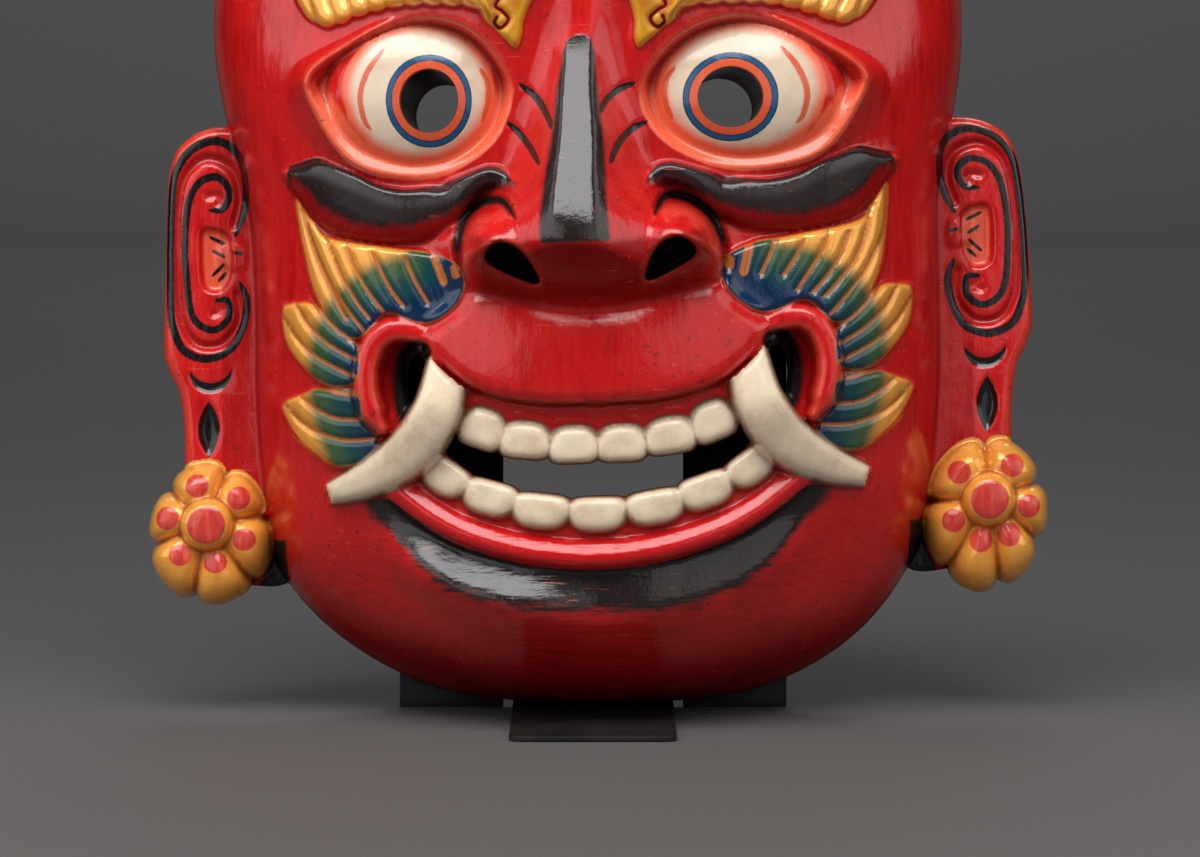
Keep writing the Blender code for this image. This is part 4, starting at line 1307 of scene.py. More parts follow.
@dataclass
class Flower(Feature):
    """Flower at the ear lobe: six domed petals round a disc."""

    window = (158.0, 236.0, 44.0, 136.0)
    middle: Oval = FLOWER
    disc: tuple[float, float, float] = (197.0, 97.0, 13.5)  # middle and radius
    cuts: tuple[Values, ...] = ((48.0, 109.0, 169.0, 215.0, 278.0, 340.5),
                                (73.0, 130.0, 171.0, 211.0, 270.0, 357.0))  # degrees, each side
    petal: Pair = (16.0, 25.0)  # height at the edge, and rise over it
    button: Pair = (39.0, 9.0)  # the same for the disc
    dot: float = 5.9
    dot_reach: float = 20.5

    def lobes(self, at: Plan) -> tuple[Array, Array, Array]:
        """Shape of the petals.

        Args:
            at: the places.

        Returns:
            Share of the lobed edge, distance to the nearest cut, and distance into the dots.
        """
        x, z = at.s - self.disc[0], at.t - self.disc[1]
        turn = np.mod(np.degrees(np.arctan2(x, z)), 360.0)
        reach = np.hypot(x, z)
        gap, dot = np.full(x.shape, 99.0), np.full(x.shape, AWAY)
        for side, cuts in zip(SIDES, self.cuts):
            own = at.x * side > 0.0
            for start, end in zip(cuts, cuts[1:] + (cuts[0] + 360.0,)):
                off = np.radians(np.mod(turn - start + 180.0, 360.0) - 180.0)
                here = np.where(np.cos(off) > 0.0, np.abs(np.sin(off)) * reach, reach)
                gap = np.where(own, np.minimum(gap, here), gap)
                way = math.radians((start + end) / 2.0)
                spot = self.dot - np.hypot(x - self.dot_reach * math.sin(way),
                                           z - self.dot_reach * math.cos(way))
                dot = np.where(own, np.maximum(dot, spot), dot)
        share = self.middle.reach(at) + 0.15 * np.exp(-gap / 3.2) * smooth(reach, 14.0, 24.0)
        return share, gap, dot

    def carve(self, p: Array, at: Plan) -> Array:
        """Raise the petals and the disc.

        Args:
            p: height so far.
            at: the places.

        Returns:
            The height after the cut.
        """
        share, gap, _ = self.lobes(at)
        low, rise = self.petal
        reach = np.hypot(at.s - self.disc[0], at.t - self.disc[1])
        petal = low + rise * cap(np.minimum(share, 1.0) ** 6) - 5.0 * np.exp(-gap / 2.0)
        petal = petal + 2.2 * smooth(gap, 0.0, 9.0) * smooth(reach, 12.0, 22.0)
        p = np.maximum(p, np.where(share < 1.03, petal, NONE))
        disc = reach / self.disc[2]
        low, rise = self.button
        button = low + rise * cap(np.minimum(disc, 1.0) ** 4)
        return np.maximum(p, np.where(disc < 1.0, button, NONE))

    def paint(self, at: Plan) -> Fields:
        """Gild the flower, with crimson dots.

        Args:
            at: the places.

        Returns:
            The paint fields.
        """
        share, gap, dot = self.lobes(at)
        reach = np.hypot(at.s - self.disc[0], at.t - self.disc[1])
        dot = np.where(reach > self.disc[2] + 0.2, dot, 9.6 - reach)
        # Grime and painted shade in the cuts between the petals and round the disc.
        nook = np.maximum(bell(gap, 1.3) * smooth(reach, 13.0, 16.0), bell(reach - 13.9, 0.9))
        here = share < 1.06
        return {Coat.GOLD: np.where(here, 31.0 * (1.05 - share), AWAY),
                Coat.DOT: np.where(here, dot, AWAY),
                Coat.GRIME_AND_SHADE: np.where(here, 0.9 * nook, 0.0)}


# ---- node trees
class Mix(Enum):
    """How one colour is laid over another."""

    OVER = "MIX"
    MULTIPLIED = "MULTIPLY"


Inputs = dict[str | int, object]


class Wire:
    """A value on its way through a node tree, which can be used in sums."""

    def __init__(self, tree: Tree, socket: bpy.types.NodeSocket) -> None:
        """Wrap a socket that a node of the tree leaves."""
        self.tree, self.socket = tree, socket

    def __add__(self, other: Wire | float) -> Wire:
        """Sum."""
        return self.tree.math("ADD", self, other)

    def __sub__(self, other: Wire | float) -> Wire:
        """Difference."""
        return self.tree.math("SUBTRACT", self, other)

    def __rsub__(self, other: float) -> Wire:
        """Number less this."""
        return self.tree.math("SUBTRACT", other, self)

    def __mul__(self, other: Wire | float) -> Wire:
        """Product."""
        return self.tree.math("MULTIPLY", self, other)

    def __truediv__(self, other: Wire | float) -> Wire:
        """Quotient."""
        return self.tree.math("DIVIDE", self, other)

    __radd__ = __add__
    __rmul__ = __mul__

    def most(self, other: Wire | float) -> Wire:
        """Larger of the two."""
        return self.tree.math("MAXIMUM", self, other)

    def step(self, low: float, high: float) -> Wire:
        """Smooth step between two values.

        Args:
            low: value where it is 0.
            high: value where it is 1.

        Returns:
            The step.
        """
        if low > high:
            return 1.0 - self.step(high, low)
        return self.tree.wire("ShaderNodeMapRange", {"Value": self, "From Min": low,
                                                     "From Max": high}, "Result",
                              interpolation_type="SMOOTHSTEP")


class Tree:
    """A shader or geometry node tree under construction."""

    def __init__(self, group: bpy.types.NodeTree) -> None:
        """Start from the empty tree to fill."""
        self.group = group

    def node(self, kind: str, inputs: Inputs | None = None, **settings: object) -> bpy.types.Node:
        """Add one node.

        Args:
            kind: the node's type.
            inputs: a wire or a fixed value for each named or numbered input.
            settings: properties of the node, set first.

        Returns:
            The node.
        """
        made = self.group.nodes.new(kind)
        for name, value in settings.items():
            setattr(made, name, value)
        for name, value in (inputs or {}).items():
            if isinstance(value, Wire):
                self.group.links.new(value.socket, made.inputs[name])
            else:
                made.inputs[name].default_value = value
        return made

    def wire(self, kind: str, inputs: Inputs | None = None, out: str | int = 0,
             **settings: object) -> Wire:
        """Add one node, as `node` does, and take one of its outputs."""
        return Wire(self, self.node(kind, inputs, **settings).outputs[out])

    def math(self, operation: str, a: Wire | float, b: Wire | float = 0.0) -> Wire:
        """Result of a maths node."""
        return self.wire("ShaderNodeMath", {0: a, 1: b}, operation=operation)

    def blend(self, share: Wire | float, a: Wire | Colour, b: Wire | Colour,
              mode: Mix = Mix.OVER) -> Wire:
        """Lay one colour over another.

        Args:
            share: how much of `b` shows.
            a: the colour below.
            b: the colour on top.
            mode: how they mix.

        Returns:
            The mixed colour.
        """
        pair = [(*v, 1.0) if isinstance(v, tuple) else v for v in (a, b)]
        return self.wire("ShaderNodeMix", {0: share, 6: pair[0], 7: pair[1]}, 2,
                         data_type="RGBA", blend_type=mode.value)

    def layers(self, value: Wire, under: Wire, bands: tuple[tuple[float, float, Colour], ...]
               ) -> Wire:
        """Colours laid one over another, each from its own value on.

        Args:
            value: what decides where each colour lies.
            under: the colour below them all.
            bands: start and end of each colour's edge, and the colour.

        Returns:
            The finished colour.
        """
        for low, high, colour in bands:
            under = self.blend(value.step(low, high), under, colour)
        return under

    def scaled(self, vector: Wire, by: Place) -> Wire:
        """Vector stretched by a factor on each axis."""
        return self.wire("ShaderNodeVectorMath", {0: vector, 1: by}, operation="MULTIPLY")

    def noise(self, vector: Wire, scale: float, detail: float = 2.0, rough: float = 0.5) -> Wire:
        """Smooth noise between 0 and 1."""
        return self.wire("ShaderNodeTexNoise", {"Vector": vector, "Scale": scale,
                                                "Detail": detail, "Roughness": rough})

    def along(self, vector: Wire, axis: int) -> Wire:
        """One coordinate of a place."""
        return self.wire("ShaderNodeSeparateXYZ", {0: vector}, axis)


# ---- finishes
@dataclass(frozen=True)
class Finish:
    """What a piece is finished with."""

    name: str

    def surface(self, tree: Tree, spot: Wire) -> Wire:
        """The finished surface, from the place on the piece."""
        raise NotImplementedError

    def build(self) -> bpy.types.Material:
        """Make the finish's material.

        Returns:
            The material.
        """
        material = bpy.data.materials.new(self.name)
        material.use_nodes = True
        material.node_tree.nodes.clear()
        tree = Tree(material.node_tree)
        spot = tree.wire("ShaderNodeTexCoord", out="Object")
        tree.node("ShaderNodeOutputMaterial", {"Surface": self.surface(tree, spot)})
        return material


class Brush:
    """Brushwork that all the paints of the carving share."""

    def __init__(self, tree: Tree, spot: Wire) -> None:
        """Mix the noises and the masks that more than one paint needs.

        Args:
            tree: the material's tree.
            spot: the place on the piece.
        """
        self.tree, self.spot = tree, spot
        self.ragged = (tree.noise(spot, 520.0, 2.0) - 0.5) * 1.5
        aside = tree.math("ABSOLUTE", tree.along(spot, 0))
        self.chin = tree.along(spot, 2).step(0.135, 0.085) * aside.step(0.155, 0.13)
        upright = tree.noise(tree.scaled(spot, (1.0, 1.0, 0.13)), 260.0, 3.0)
        level = tree.noise(tree.scaled(spot, (0.09, 0.4, 1.0)), 420.0, 3.0)
        self.stroke = upright + (level - upright) * self.chin
        self.cloud = tree.noise(spot, 28.0, 3.0)
        self.fleck = tree.noise(spot, 1400.0, 2.0)
        self.patch = tree.noise(spot, 75.0, 4.0, 0.6)
        self.grain = tree.noise(tree.scaled(spot, (1.0, 1.0, 0.06)), 190.0, 4.0, 0.6)
        self.nook, self.crest = self.coat(Coat.GRIME_AND_SHADE), self.coat(Coat.CREST)
        self.hue = self.coat(Coat.HUE) + self.ragged * 0.05
        self.gold = self.edge(Coat.GOLD, 0.3)
        self.ball = self.coat(Coat.BALL) + (self.stroke - 0.5) * 0.05
        self.rear = self.coat(Coat.REAR).most(0.0)
        self.black_and_shade = (self.coat(Coat.BLACK_AND_SHADE) + (self.stroke - 0.5) * (0.5 + self.chin * 0.6)
                     + self.ragged * 0.12).step(0.2, 0.8)

    def coat(self, kind: Coat) -> Wire:
        """Value of a paint field."""
        return self.tree.wire("ShaderNodeAttribute", out="Fac", attribute_name=kind.attribute)

    def edge(self, kind: Coat, at: float = 0.0, soft: float = 0.35) -> Wire:
        """Cover of a paint whose field is a distance: 1 from `at` on, ragged by the brush."""
        return (self.coat(kind) + self.ragged * 0.45).step(at - soft, at + soft)


@dataclass(frozen=True)
class PaintedWood(Finish):
    """Brushed paint over carved wood, grime and painted shade in the recesses, glossy varnish on
    top.
    """

    name: str = "painted_wood"
    red: Colour = (0.66, 0.012, 0.011)
    deep: Colour = (0.42, 0.003, 0.005)
    dark: Colour = (0.095, 0.001, 0.002)
    coral: Colour = (0.92, 0.140, 0.062)
    gum: Colour = (0.62, 0.008, 0.009)
    black: Colour = (0.006, 0.005, 0.006)
    charcoal: Colour = (0.020, 0.012, 0.012)
    gold: Colour = (0.98, 0.42, 0.068)
    # dark gold: the gilding's shaded copy, also used for brush variation
    dark_gold: Colour = (0.68, 0.205, 0.022)
    green: Colour = (0.050, 0.105, 0.042)
    teal: Colour = (0.008, 0.060, 0.070)
    blue: Colour = (0.003, 0.026, 0.080)
    orange: Colour = (0.54, 0.145, 0.020)
    flame: Colour = (0.70, 0.10, 0.035)
    yellow: Colour = (0.68, 0.31, 0.018)
    crimson: Colour = (0.62, 0.045, 0.036)
    cream: Colour = (0.88, 0.71, 0.51)
    white: Colour = (0.76, 0.60, 0.45)
    iris: Colour = (0.003, 0.085, 0.22)
    grime: Colour = (0.42, 0.25, 0.12)
    crease: Colour = (0.20, 0.085, 0.035)
    grime_and_shade_tint: Colour = (0.34, 0.15, 0.085)
    bare: Colour = (0.095, 0.052, 0.030)
    bare_dark: Colour = (0.024, 0.014, 0.010)
    coat_roughness: float = 0.11

    def ground(self, brush: Brush) -> Wire:
        """Lay the reds, the black shading, the scratches and the chips; the coral and dark red
        carry painted highlight and painted shade.

        Args:
            brush: the shared brushwork.

        Returns:
            The colour.
        """
        tree, coat, ragged, stroke = brush.tree, brush.coat, brush.ragged, brush.stroke
        worn = (stroke * 0.55 + brush.cloud * 0.6 - 0.05).step(0.24, 0.60)
        paint = tree.blend(worn, self.deep, self.red)
        paint = tree.blend((brush.crest + ragged * 0.3).step(0.3, 1.2) * 0.30, paint, self.coral)
        paint = tree.blend((coat(Coat.CORAL) + (stroke - 0.5) * 0.5).step(0.1, 0.9), paint,
                           self.coral)
        # Dark red of the shade field, which is partly paint and partly painted shade.
        paint = tree.blend((coat(Coat.SHADE) + ragged * 0.2) * 0.95, paint, self.dark)
        paint = tree.blend(brush.edge(Coat.GUM, 0.6), paint, self.gum)
        paint = tree.blend(brush.black_and_shade, paint, self.charcoal)
        scratch = tree.noise(tree.scaled(brush.spot, (0.05, 1.0, 1.0)), 700.0, 1.0)
        scratch = scratch.step(0.68, 0.75) * brush.cloud.step(0.44, 0.60)
        paint = tree.blend(scratch * 0.45, paint, self.coral)
        chip = tree.noise(brush.spot, 330.0, 1.0).step(0.68, 0.73) * brush.cloud.step(0.40, 0.58)
        return tree.blend(chip * 0.60, paint, self.bare_dark)

    def plumage(self, brush: Brush) -> Wire:
        """Mix the gold, which turns to green and blue on the feathers.

        Args:
            brush: the shared brushwork.

        Returns:
            The colour.
        """
        tree = brush.tree
        # Gold is lighter on raised edges, as worn gilding and as painted highlight; elsewhere gold
        # and dark gold follow the brush strokes.
        gilt = tree.blend((brush.fleck * 0.3 + brush.stroke * 0.5 + brush.crest * 0.45)
                          .step(0.15, 0.6), self.dark_gold, self.gold)
        plume = tree.layers(brush.hue, gilt, ((0.12, 0.40, self.green), (0.44, 0.72, self.teal),
                                              (0.76, 0.98, self.blue)))
        return tree.blend(brush.edge(Coat.QUILL, 0.0, 0.4) * 0.85, plume, self.orange)

    def ivory(self, brush: Brush) -> Wire:
        """Mix the paint of the teeth, grimy in patches and dark round the rims.

        Args:
            brush: the shared brushwork.

        Returns:
            The colour.
        """
        tree, patch = brush.tree, brush.patch
        tooth = tree.blend((patch * 0.8 + brush.fleck * 0.2).step(0.42, 0.74) * 0.42, self.cream,
                           self.grime)
        rim = brush.coat(Coat.CREAM) + brush.ragged * 1.1 + (patch - 0.5) * 3.0
        return tree.blend(rim.step(3.3, 0.3) * 0.9, tooth, self.crease)

    def eyeball(self, brush: Brush) -> Wire:
        """Mix the white of the eye with its strokes and rings.

        Args:
            brush: the shared brushwork.

        Returns:
            The colour.
        """
        tree = brush.tree
        white = tree.blend(brush.patch.step(0.46, 0.74) * 0.30, self.white, self.grime)
        white = tree.blend(brush.ball.step(0.02, 0.20), self.coral, white)
        white = tree.blend(brush.edge(Coat.VEIN) * 0.95, white, self.flame)
        ring = brush.coat(Coat.RING) + brush.ragged * 0.25
        return tree.layers(ring, white, ((-22.4, -22.0, self.black), (-21.9, -21.5, self.iris),
                                         (-19.6, -19.3, self.black), (-19.2, -18.8, self.flame)))

    def bare_wood(self, brush: Brush) -> Wire:
        """Bare wood of the hollow, black where it is thin; on the walls of the openings this black
        is painted shade inside the holes.
        """
        wood = brush.tree.blend(brush.grain.step(0.35, 0.65), self.bare_dark, self.bare)
        return brush.tree.blend(brush.rear.step(0.35, 0.95), self.black, wood)

    def colour(self, brush: Brush) -> Wire:
        """Lay every paint over the ground, then the grime and painted shade of the recesses.

        Args:
            brush: the shared brushwork.

        Returns:
            The colour.
        """
        tree, edge, cloud, nook = brush.tree, brush.edge, brush.cloud, brush.nook
        yellow = tree.blend((brush.crest + cloud * 0.5).step(0.1, 0.7), self.orange, self.yellow)
        pink = tree.blend(brush.stroke.step(0.38, 0.80) * 0.75, self.crimson, self.coral)
        paint = tree.blend(brush.gold, self.ground(brush), self.plumage(brush))
        paint = tree.blend(edge(Coat.CURL), paint, yellow)
        paint = tree.blend(edge(Coat.DOT), paint, pink)
        paint = tree.blend(edge(Coat.CREAM), paint, self.ivory(brush))
        paint = tree.blend(brush.ball.step(-0.02, 0.03), paint, self.eyeball(brush))
        paint = tree.blend(edge(Coat.INK), paint, self.black)
        # Grime and painted shade in the recesses, multiplied over the paint.
        grime_and_shade_cover = (nook * 0.9 + (cloud - 0.5) * 0.5 * nook).step(0.12, 1.0)
        paint = tree.blend(grime_and_shade_cover * 0.8, paint, self.grime_and_shade_tint, Mix.MULTIPLIED)
        return tree.blend(brush.rear.step(0.02, 0.12), paint, self.bare_wood(brush))

    def surface(self, tree: Tree, spot: Wire) -> Wire:
        """Paint and varnish the wood, dull where it is deeply shaded.

        Args:
            tree: the material's tree.
            spot: the place on the piece.

        Returns:
            The surface.
        """
        brush = Brush(tree, spot)
        paint, rear, cloud, fleck = self.colour(brush), brush.rear, brush.cloud, brush.fleck
        roughness = (0.16 + (cloud - 0.5) * 0.14 + (fleck - 0.5) * 0.10 + brush.nook * 0.2
                     + rear * 0.4 + brush.edge(Coat.CREAM) * 0.12)
        metallic = brush.gold * (1.0 - brush.edge(Coat.DOT)) * (1.0 - brush.hue.step(0.1, 0.4))
        chisel = tree.noise(tree.scaled(spot, (1.0, 1.0, 0.7)), 62.0, 4.0, 0.52)
        pebble = tree.noise(spot, 210.0, 3.0, 0.6)
        dents = (chisel + pebble * (0.17 + brush.black_and_shade * 0.22)
                 + brush.stroke * (0.24 + brush.chin * 0.30) + fleck * 0.08)
        bump = tree.wire("ShaderNodeBump", {"Height": dents, "Distance": 0.0011, "Strength": 0.6})
        skin = tree.wire("ShaderNodeBsdfPrincipled", {
            "Base Color": paint, "Roughness": roughness, "Metallic": metallic * 0.22,
            "Coat Weight": (1.0 - rear) * 0.25, "Coat Roughness": self.coat_roughness,
            "Coat IOR": 1.5, "IOR": 1.5, "Normal": bump})
        dull = tree.wire("ShaderNodeBsdfPrincipled", {
            "Base Color": paint, "Roughness": 0.6, "Specular IOR Level": 0.05, "Normal": bump})
        shaded = (brush.coat(Coat.SHADE) * 1.3).step(0.1, 1.0)
        return tree.wire("ShaderNodeMixShader", {0: shaded * 0.92, 1: skin, 2: dull})


@dataclass(frozen=True)
class BlackSteel(Finish):
    """Black-finished sheet steel with rubbing marks and dust."""

    name: str = "black_steel"
    black: Colour = (0.007, 0.006, 0.006)
    dust: Colour = (0.022, 0.016, 0.015)

    def surface(self, tree: Tree, spot: Wire) -> Wire:
        """Mix the black finish and its dust.

        Args:
            tree: the material's tree.
            spot: the place on the piece.

        Returns:
            The surface.
        """
        rub = tree.noise(tree.scaled(spot, (1.0, 0.12, 0.12)), 420.0, 3.0, 0.6)
        cloud = tree.noise(spot, 18.0, 4.0, 0.6)
        speck = tree.noise(spot, 900.0, 2.0)
        dusty = (cloud + speck * 0.45 - 0.2).step(0.32, 0.72)
        paint = tree.blend(dusty * 0.5, self.black, self.dust)
        roughness = 0.42 + rub * 0.16 + dusty * 0.14
        bump = tree.wire("ShaderNodeBump", {"Height": rub * 0.6 + speck * 0.4,
                                            "Distance": 0.0002, "Strength": 0.35})
        return tree.wire("ShaderNodeBsdfPrincipled", {
            "Base Color": paint, "Roughness": roughness, "Metallic": 0.35, "Normal": bump})


@dataclass(frozen=True)
class StudioSurface(Finish):
    """Plain matt paper, its tone graded from front to back as painted light and shade."""

    name: str = "pale_paper"
    # Painted light and shade on the paper: front, middle and far tones.
    front: Colour = (0.100, 0.093, 0.091)
    middle: Colour = (0.073, 0.071, 0.072)
    back: Colour = (0.130, 0.127, 0.129)
    roughness: float = 0.7

    def surface(self, tree: Tree, spot: Wire) -> Wire:
        """Grade the paper's tone: painted light in front, darker round and behind the mask, lighter
        again on the far paper.

        Args:
            tree: the material's tree.
            spot: the place on the piece.

        Returns:
            The surface.
        """
        grain = tree.noise(spot, 240.0, 3.0)
        away = tree.along(spot, 1)
        tone = tree.blend(away.step(-0.2, 0.9), self.front, self.middle)
        tone = tree.blend(away.step(1.5, 5.5), tone, self.back)
        tone = tree.blend(grain * 0.12, tone, self.middle)
        return tree.wire("ShaderNodeBsdfPrincipled", {
            "Base Color": tone, "Roughness": self.roughness})


# ---- the mask
def add_piece(name: str, points: Array, faces: Array | list[list[int]]) -> Piece:
    """Put a mesh object at the origin.

    Args:
        name: the piece's name.
        points: its points, in metres or millimetres.
        faces: the points of each face.

    Returns:
        The object.
    """
    mesh = bpy.data.meshes.new(name)
    mesh.from_pydata(points.tolist(), [], faces if isinstance(faces, list) else faces.tolist())
    mesh.update()
    piece = bpy.data.objects.new(name, mesh)
    bpy.context.scene.collection.objects.link(piece)
    return piece


def settled(piece: Piece, name: str) -> Piece:
    """Replace an object with modifiers by a plain mesh object.

    Args:
        piece: the object, which is removed.
        name: name of the new one.

    Returns:
        The plain object.
    """
    bpy.context.view_layer.update()
    view = bpy.context.evaluated_depsgraph_get()
    mesh = bpy.data.meshes.new_from_object(piece.evaluated_get(view))
    bpy.data.objects.remove(piece, do_unlink=True)
    mesh.name = name
    plain = bpy.data.objects.new(name, mesh)
    bpy.context.scene.collection.objects.link(plain)
    return plain


def spread(values: Array, radius: int) -> Array:
    """Local mean over a square, taken twice.

    Args:
        values: values on a grid.
        radius: half the square's side, in cells.

    Returns:
        The means on the same grid.
    """
    for axis in (0, 1, 0, 1):
        pad = [(radius + 1, radius) if a == axis else (0, 0) for a in (0, 1)]
        total = np.cumsum(np.pad(values, pad, mode="edge"), axis=axis)
        size = values.shape[axis]
        width = 2 * radius + 1
        high = np.take(total, np.arange(width, width + size), axis=axis)
        values = (high - np.take(total, np.arange(size), axis=axis)) / width
    return values


def softened(values: Array, rounds: int = 2) -> Array:
    """Values with the steps of the grid smoothed away.

    Args:
        values: values on a grid.
        rounds: how often each is blended with its neighbours.

    Returns:
        The smoothed values.
    """
    for _ in range(rounds):
        for axis in (0, 1):
            ahead, behind = np.roll(values, 1, axis), np.roll(values, -1, axis)
            values = (ahead + 2.0 * values + behind) / 4.0
    return values


@dataclass
class Blank:
    """Grid over the mask's plane, from which the sheet of triangles is cut."""

    step: float
    half_width: float = 234.0
    low: float = -6.0
    high: float = 510.0

    def __post_init__(self) -> None:
        """Lay out the grid."""
        columns = math.ceil(self.half_width / self.step)
        across_it = np.arange(-columns, columns + 1) * self.step
        x, t = np.meshgrid(across_it, np.arange(self.low, self.high, self.step))
        self.shape = x.shape
        self.plan = Plan(x.ravel(), t.ravel())

    def sample(self, values: Array, at: Plan) -> Array:
        """Value at any places, between the grid's points.

        Args:
            values: values on the grid.
            at: the places.

        Returns:
            The value at each place.
        """
        grid = values.reshape(self.shape)
        u = np.clip((at.x - self.plan.x[0]) / self.step, 0.0, self.shape[1] - 1.001)
        v = np.clip((at.t - self.low) / self.step, 0.0, self.shape[0] - 1.001)
        i, j = u.astype(int), v.astype(int)
        u, v = u - i, v - j
        lower = grid[j, i] * (1.0 - u) + grid[j, i + 1] * u
        upper = grid[j + 1, i] * (1.0 - u) + grid[j + 1, i + 1] * u
        return lower * (1.0 - v) + upper * v

    def cut(self, wood: Array) -> tuple[Plan, Array]:
        """Triangles over the wood, with edge points moved on to its outline.

        Args:
            wood: signed distance into the wood at each grid point.

        Returns:
            The places of the points, and the triangles.
        """
        high, wide = self.shape
        d = wood.reshape(self.shape)
        dz, dx = np.gradient(d, self.step)
        size = np.hypot(dx, dz) + 1e-6
        close = (np.abs(d) < 0.35 * self.step) & (size > 0.5)
        x, z = self.plan.x.reshape(self.shape), self.plan.t.reshape(self.shape)
        x = np.where(close, x - d * dx / size ** 2, x)
        z = np.where(close, z - d * dz / size ** 2, z)
        d = np.where(close, 0.0, d)
        index = np.arange(high * wide).reshape(high, wide)
        a, b, c, e = (index[:-1, :-1], index[:-1, 1:], index[1:, 1:], index[1:, :-1])
        odd = (np.add.outer(np.arange(high - 1), np.arange(wide - 1)) % 2).astype(bool)[..., None]
        first = np.where(odd, np.stack([a, b, c], -1), np.stack([a, b, e], -1))
        second = np.where(odd, np.stack([a, c, e], -1), np.stack([b, c, e], -1))
        faces = np.vstack([first.reshape(-1, 3), second.reshape(-1, 3)])
        points = list(zip(x.ravel(), z.ravel()))
        depth = d.ravel()
        sign = np.sign(depth)[faces]
        whole = faces[(sign.min(axis=1) >= 0) & (sign.max(axis=1) > 0)]
        trimmed: list[list[int]] = []
        cuts: dict[tuple[int, int], int] = {}
        for face in faces[(sign.min(axis=1) < 0) & (sign.max(axis=1) > 0)].tolist():
            loop = []
            for i, j in zip(face, face[1:] + face[:1]):
                if depth[i] >= 0:
                    loop.append(i)
                if depth[i] * depth[j] < 0:
                    key = (min(i, j), max(i, j))
                    if key not in cuts:
                        k = depth[i] / (depth[i] - depth[j])
                        cuts[key] = len(points)
                        points.append((points[i][0] + k * (points[j][0] - points[i][0]),
                                       points[i][1] + k * (points[j][1] - points[i][1])))
                    loop.append(cuts[key])
            trimmed += [[loop[0], loop[k], loop[k + 1]] for k in range(1, len(loop) - 1)]
        used, kept = np.unique(np.vstack([whole, np.array(trimmed)]), return_inverse=True)
        flat = np.array(points)[used]
        return Plan(flat[:, 0], flat[:, 1]), kept.reshape(-1, 3)


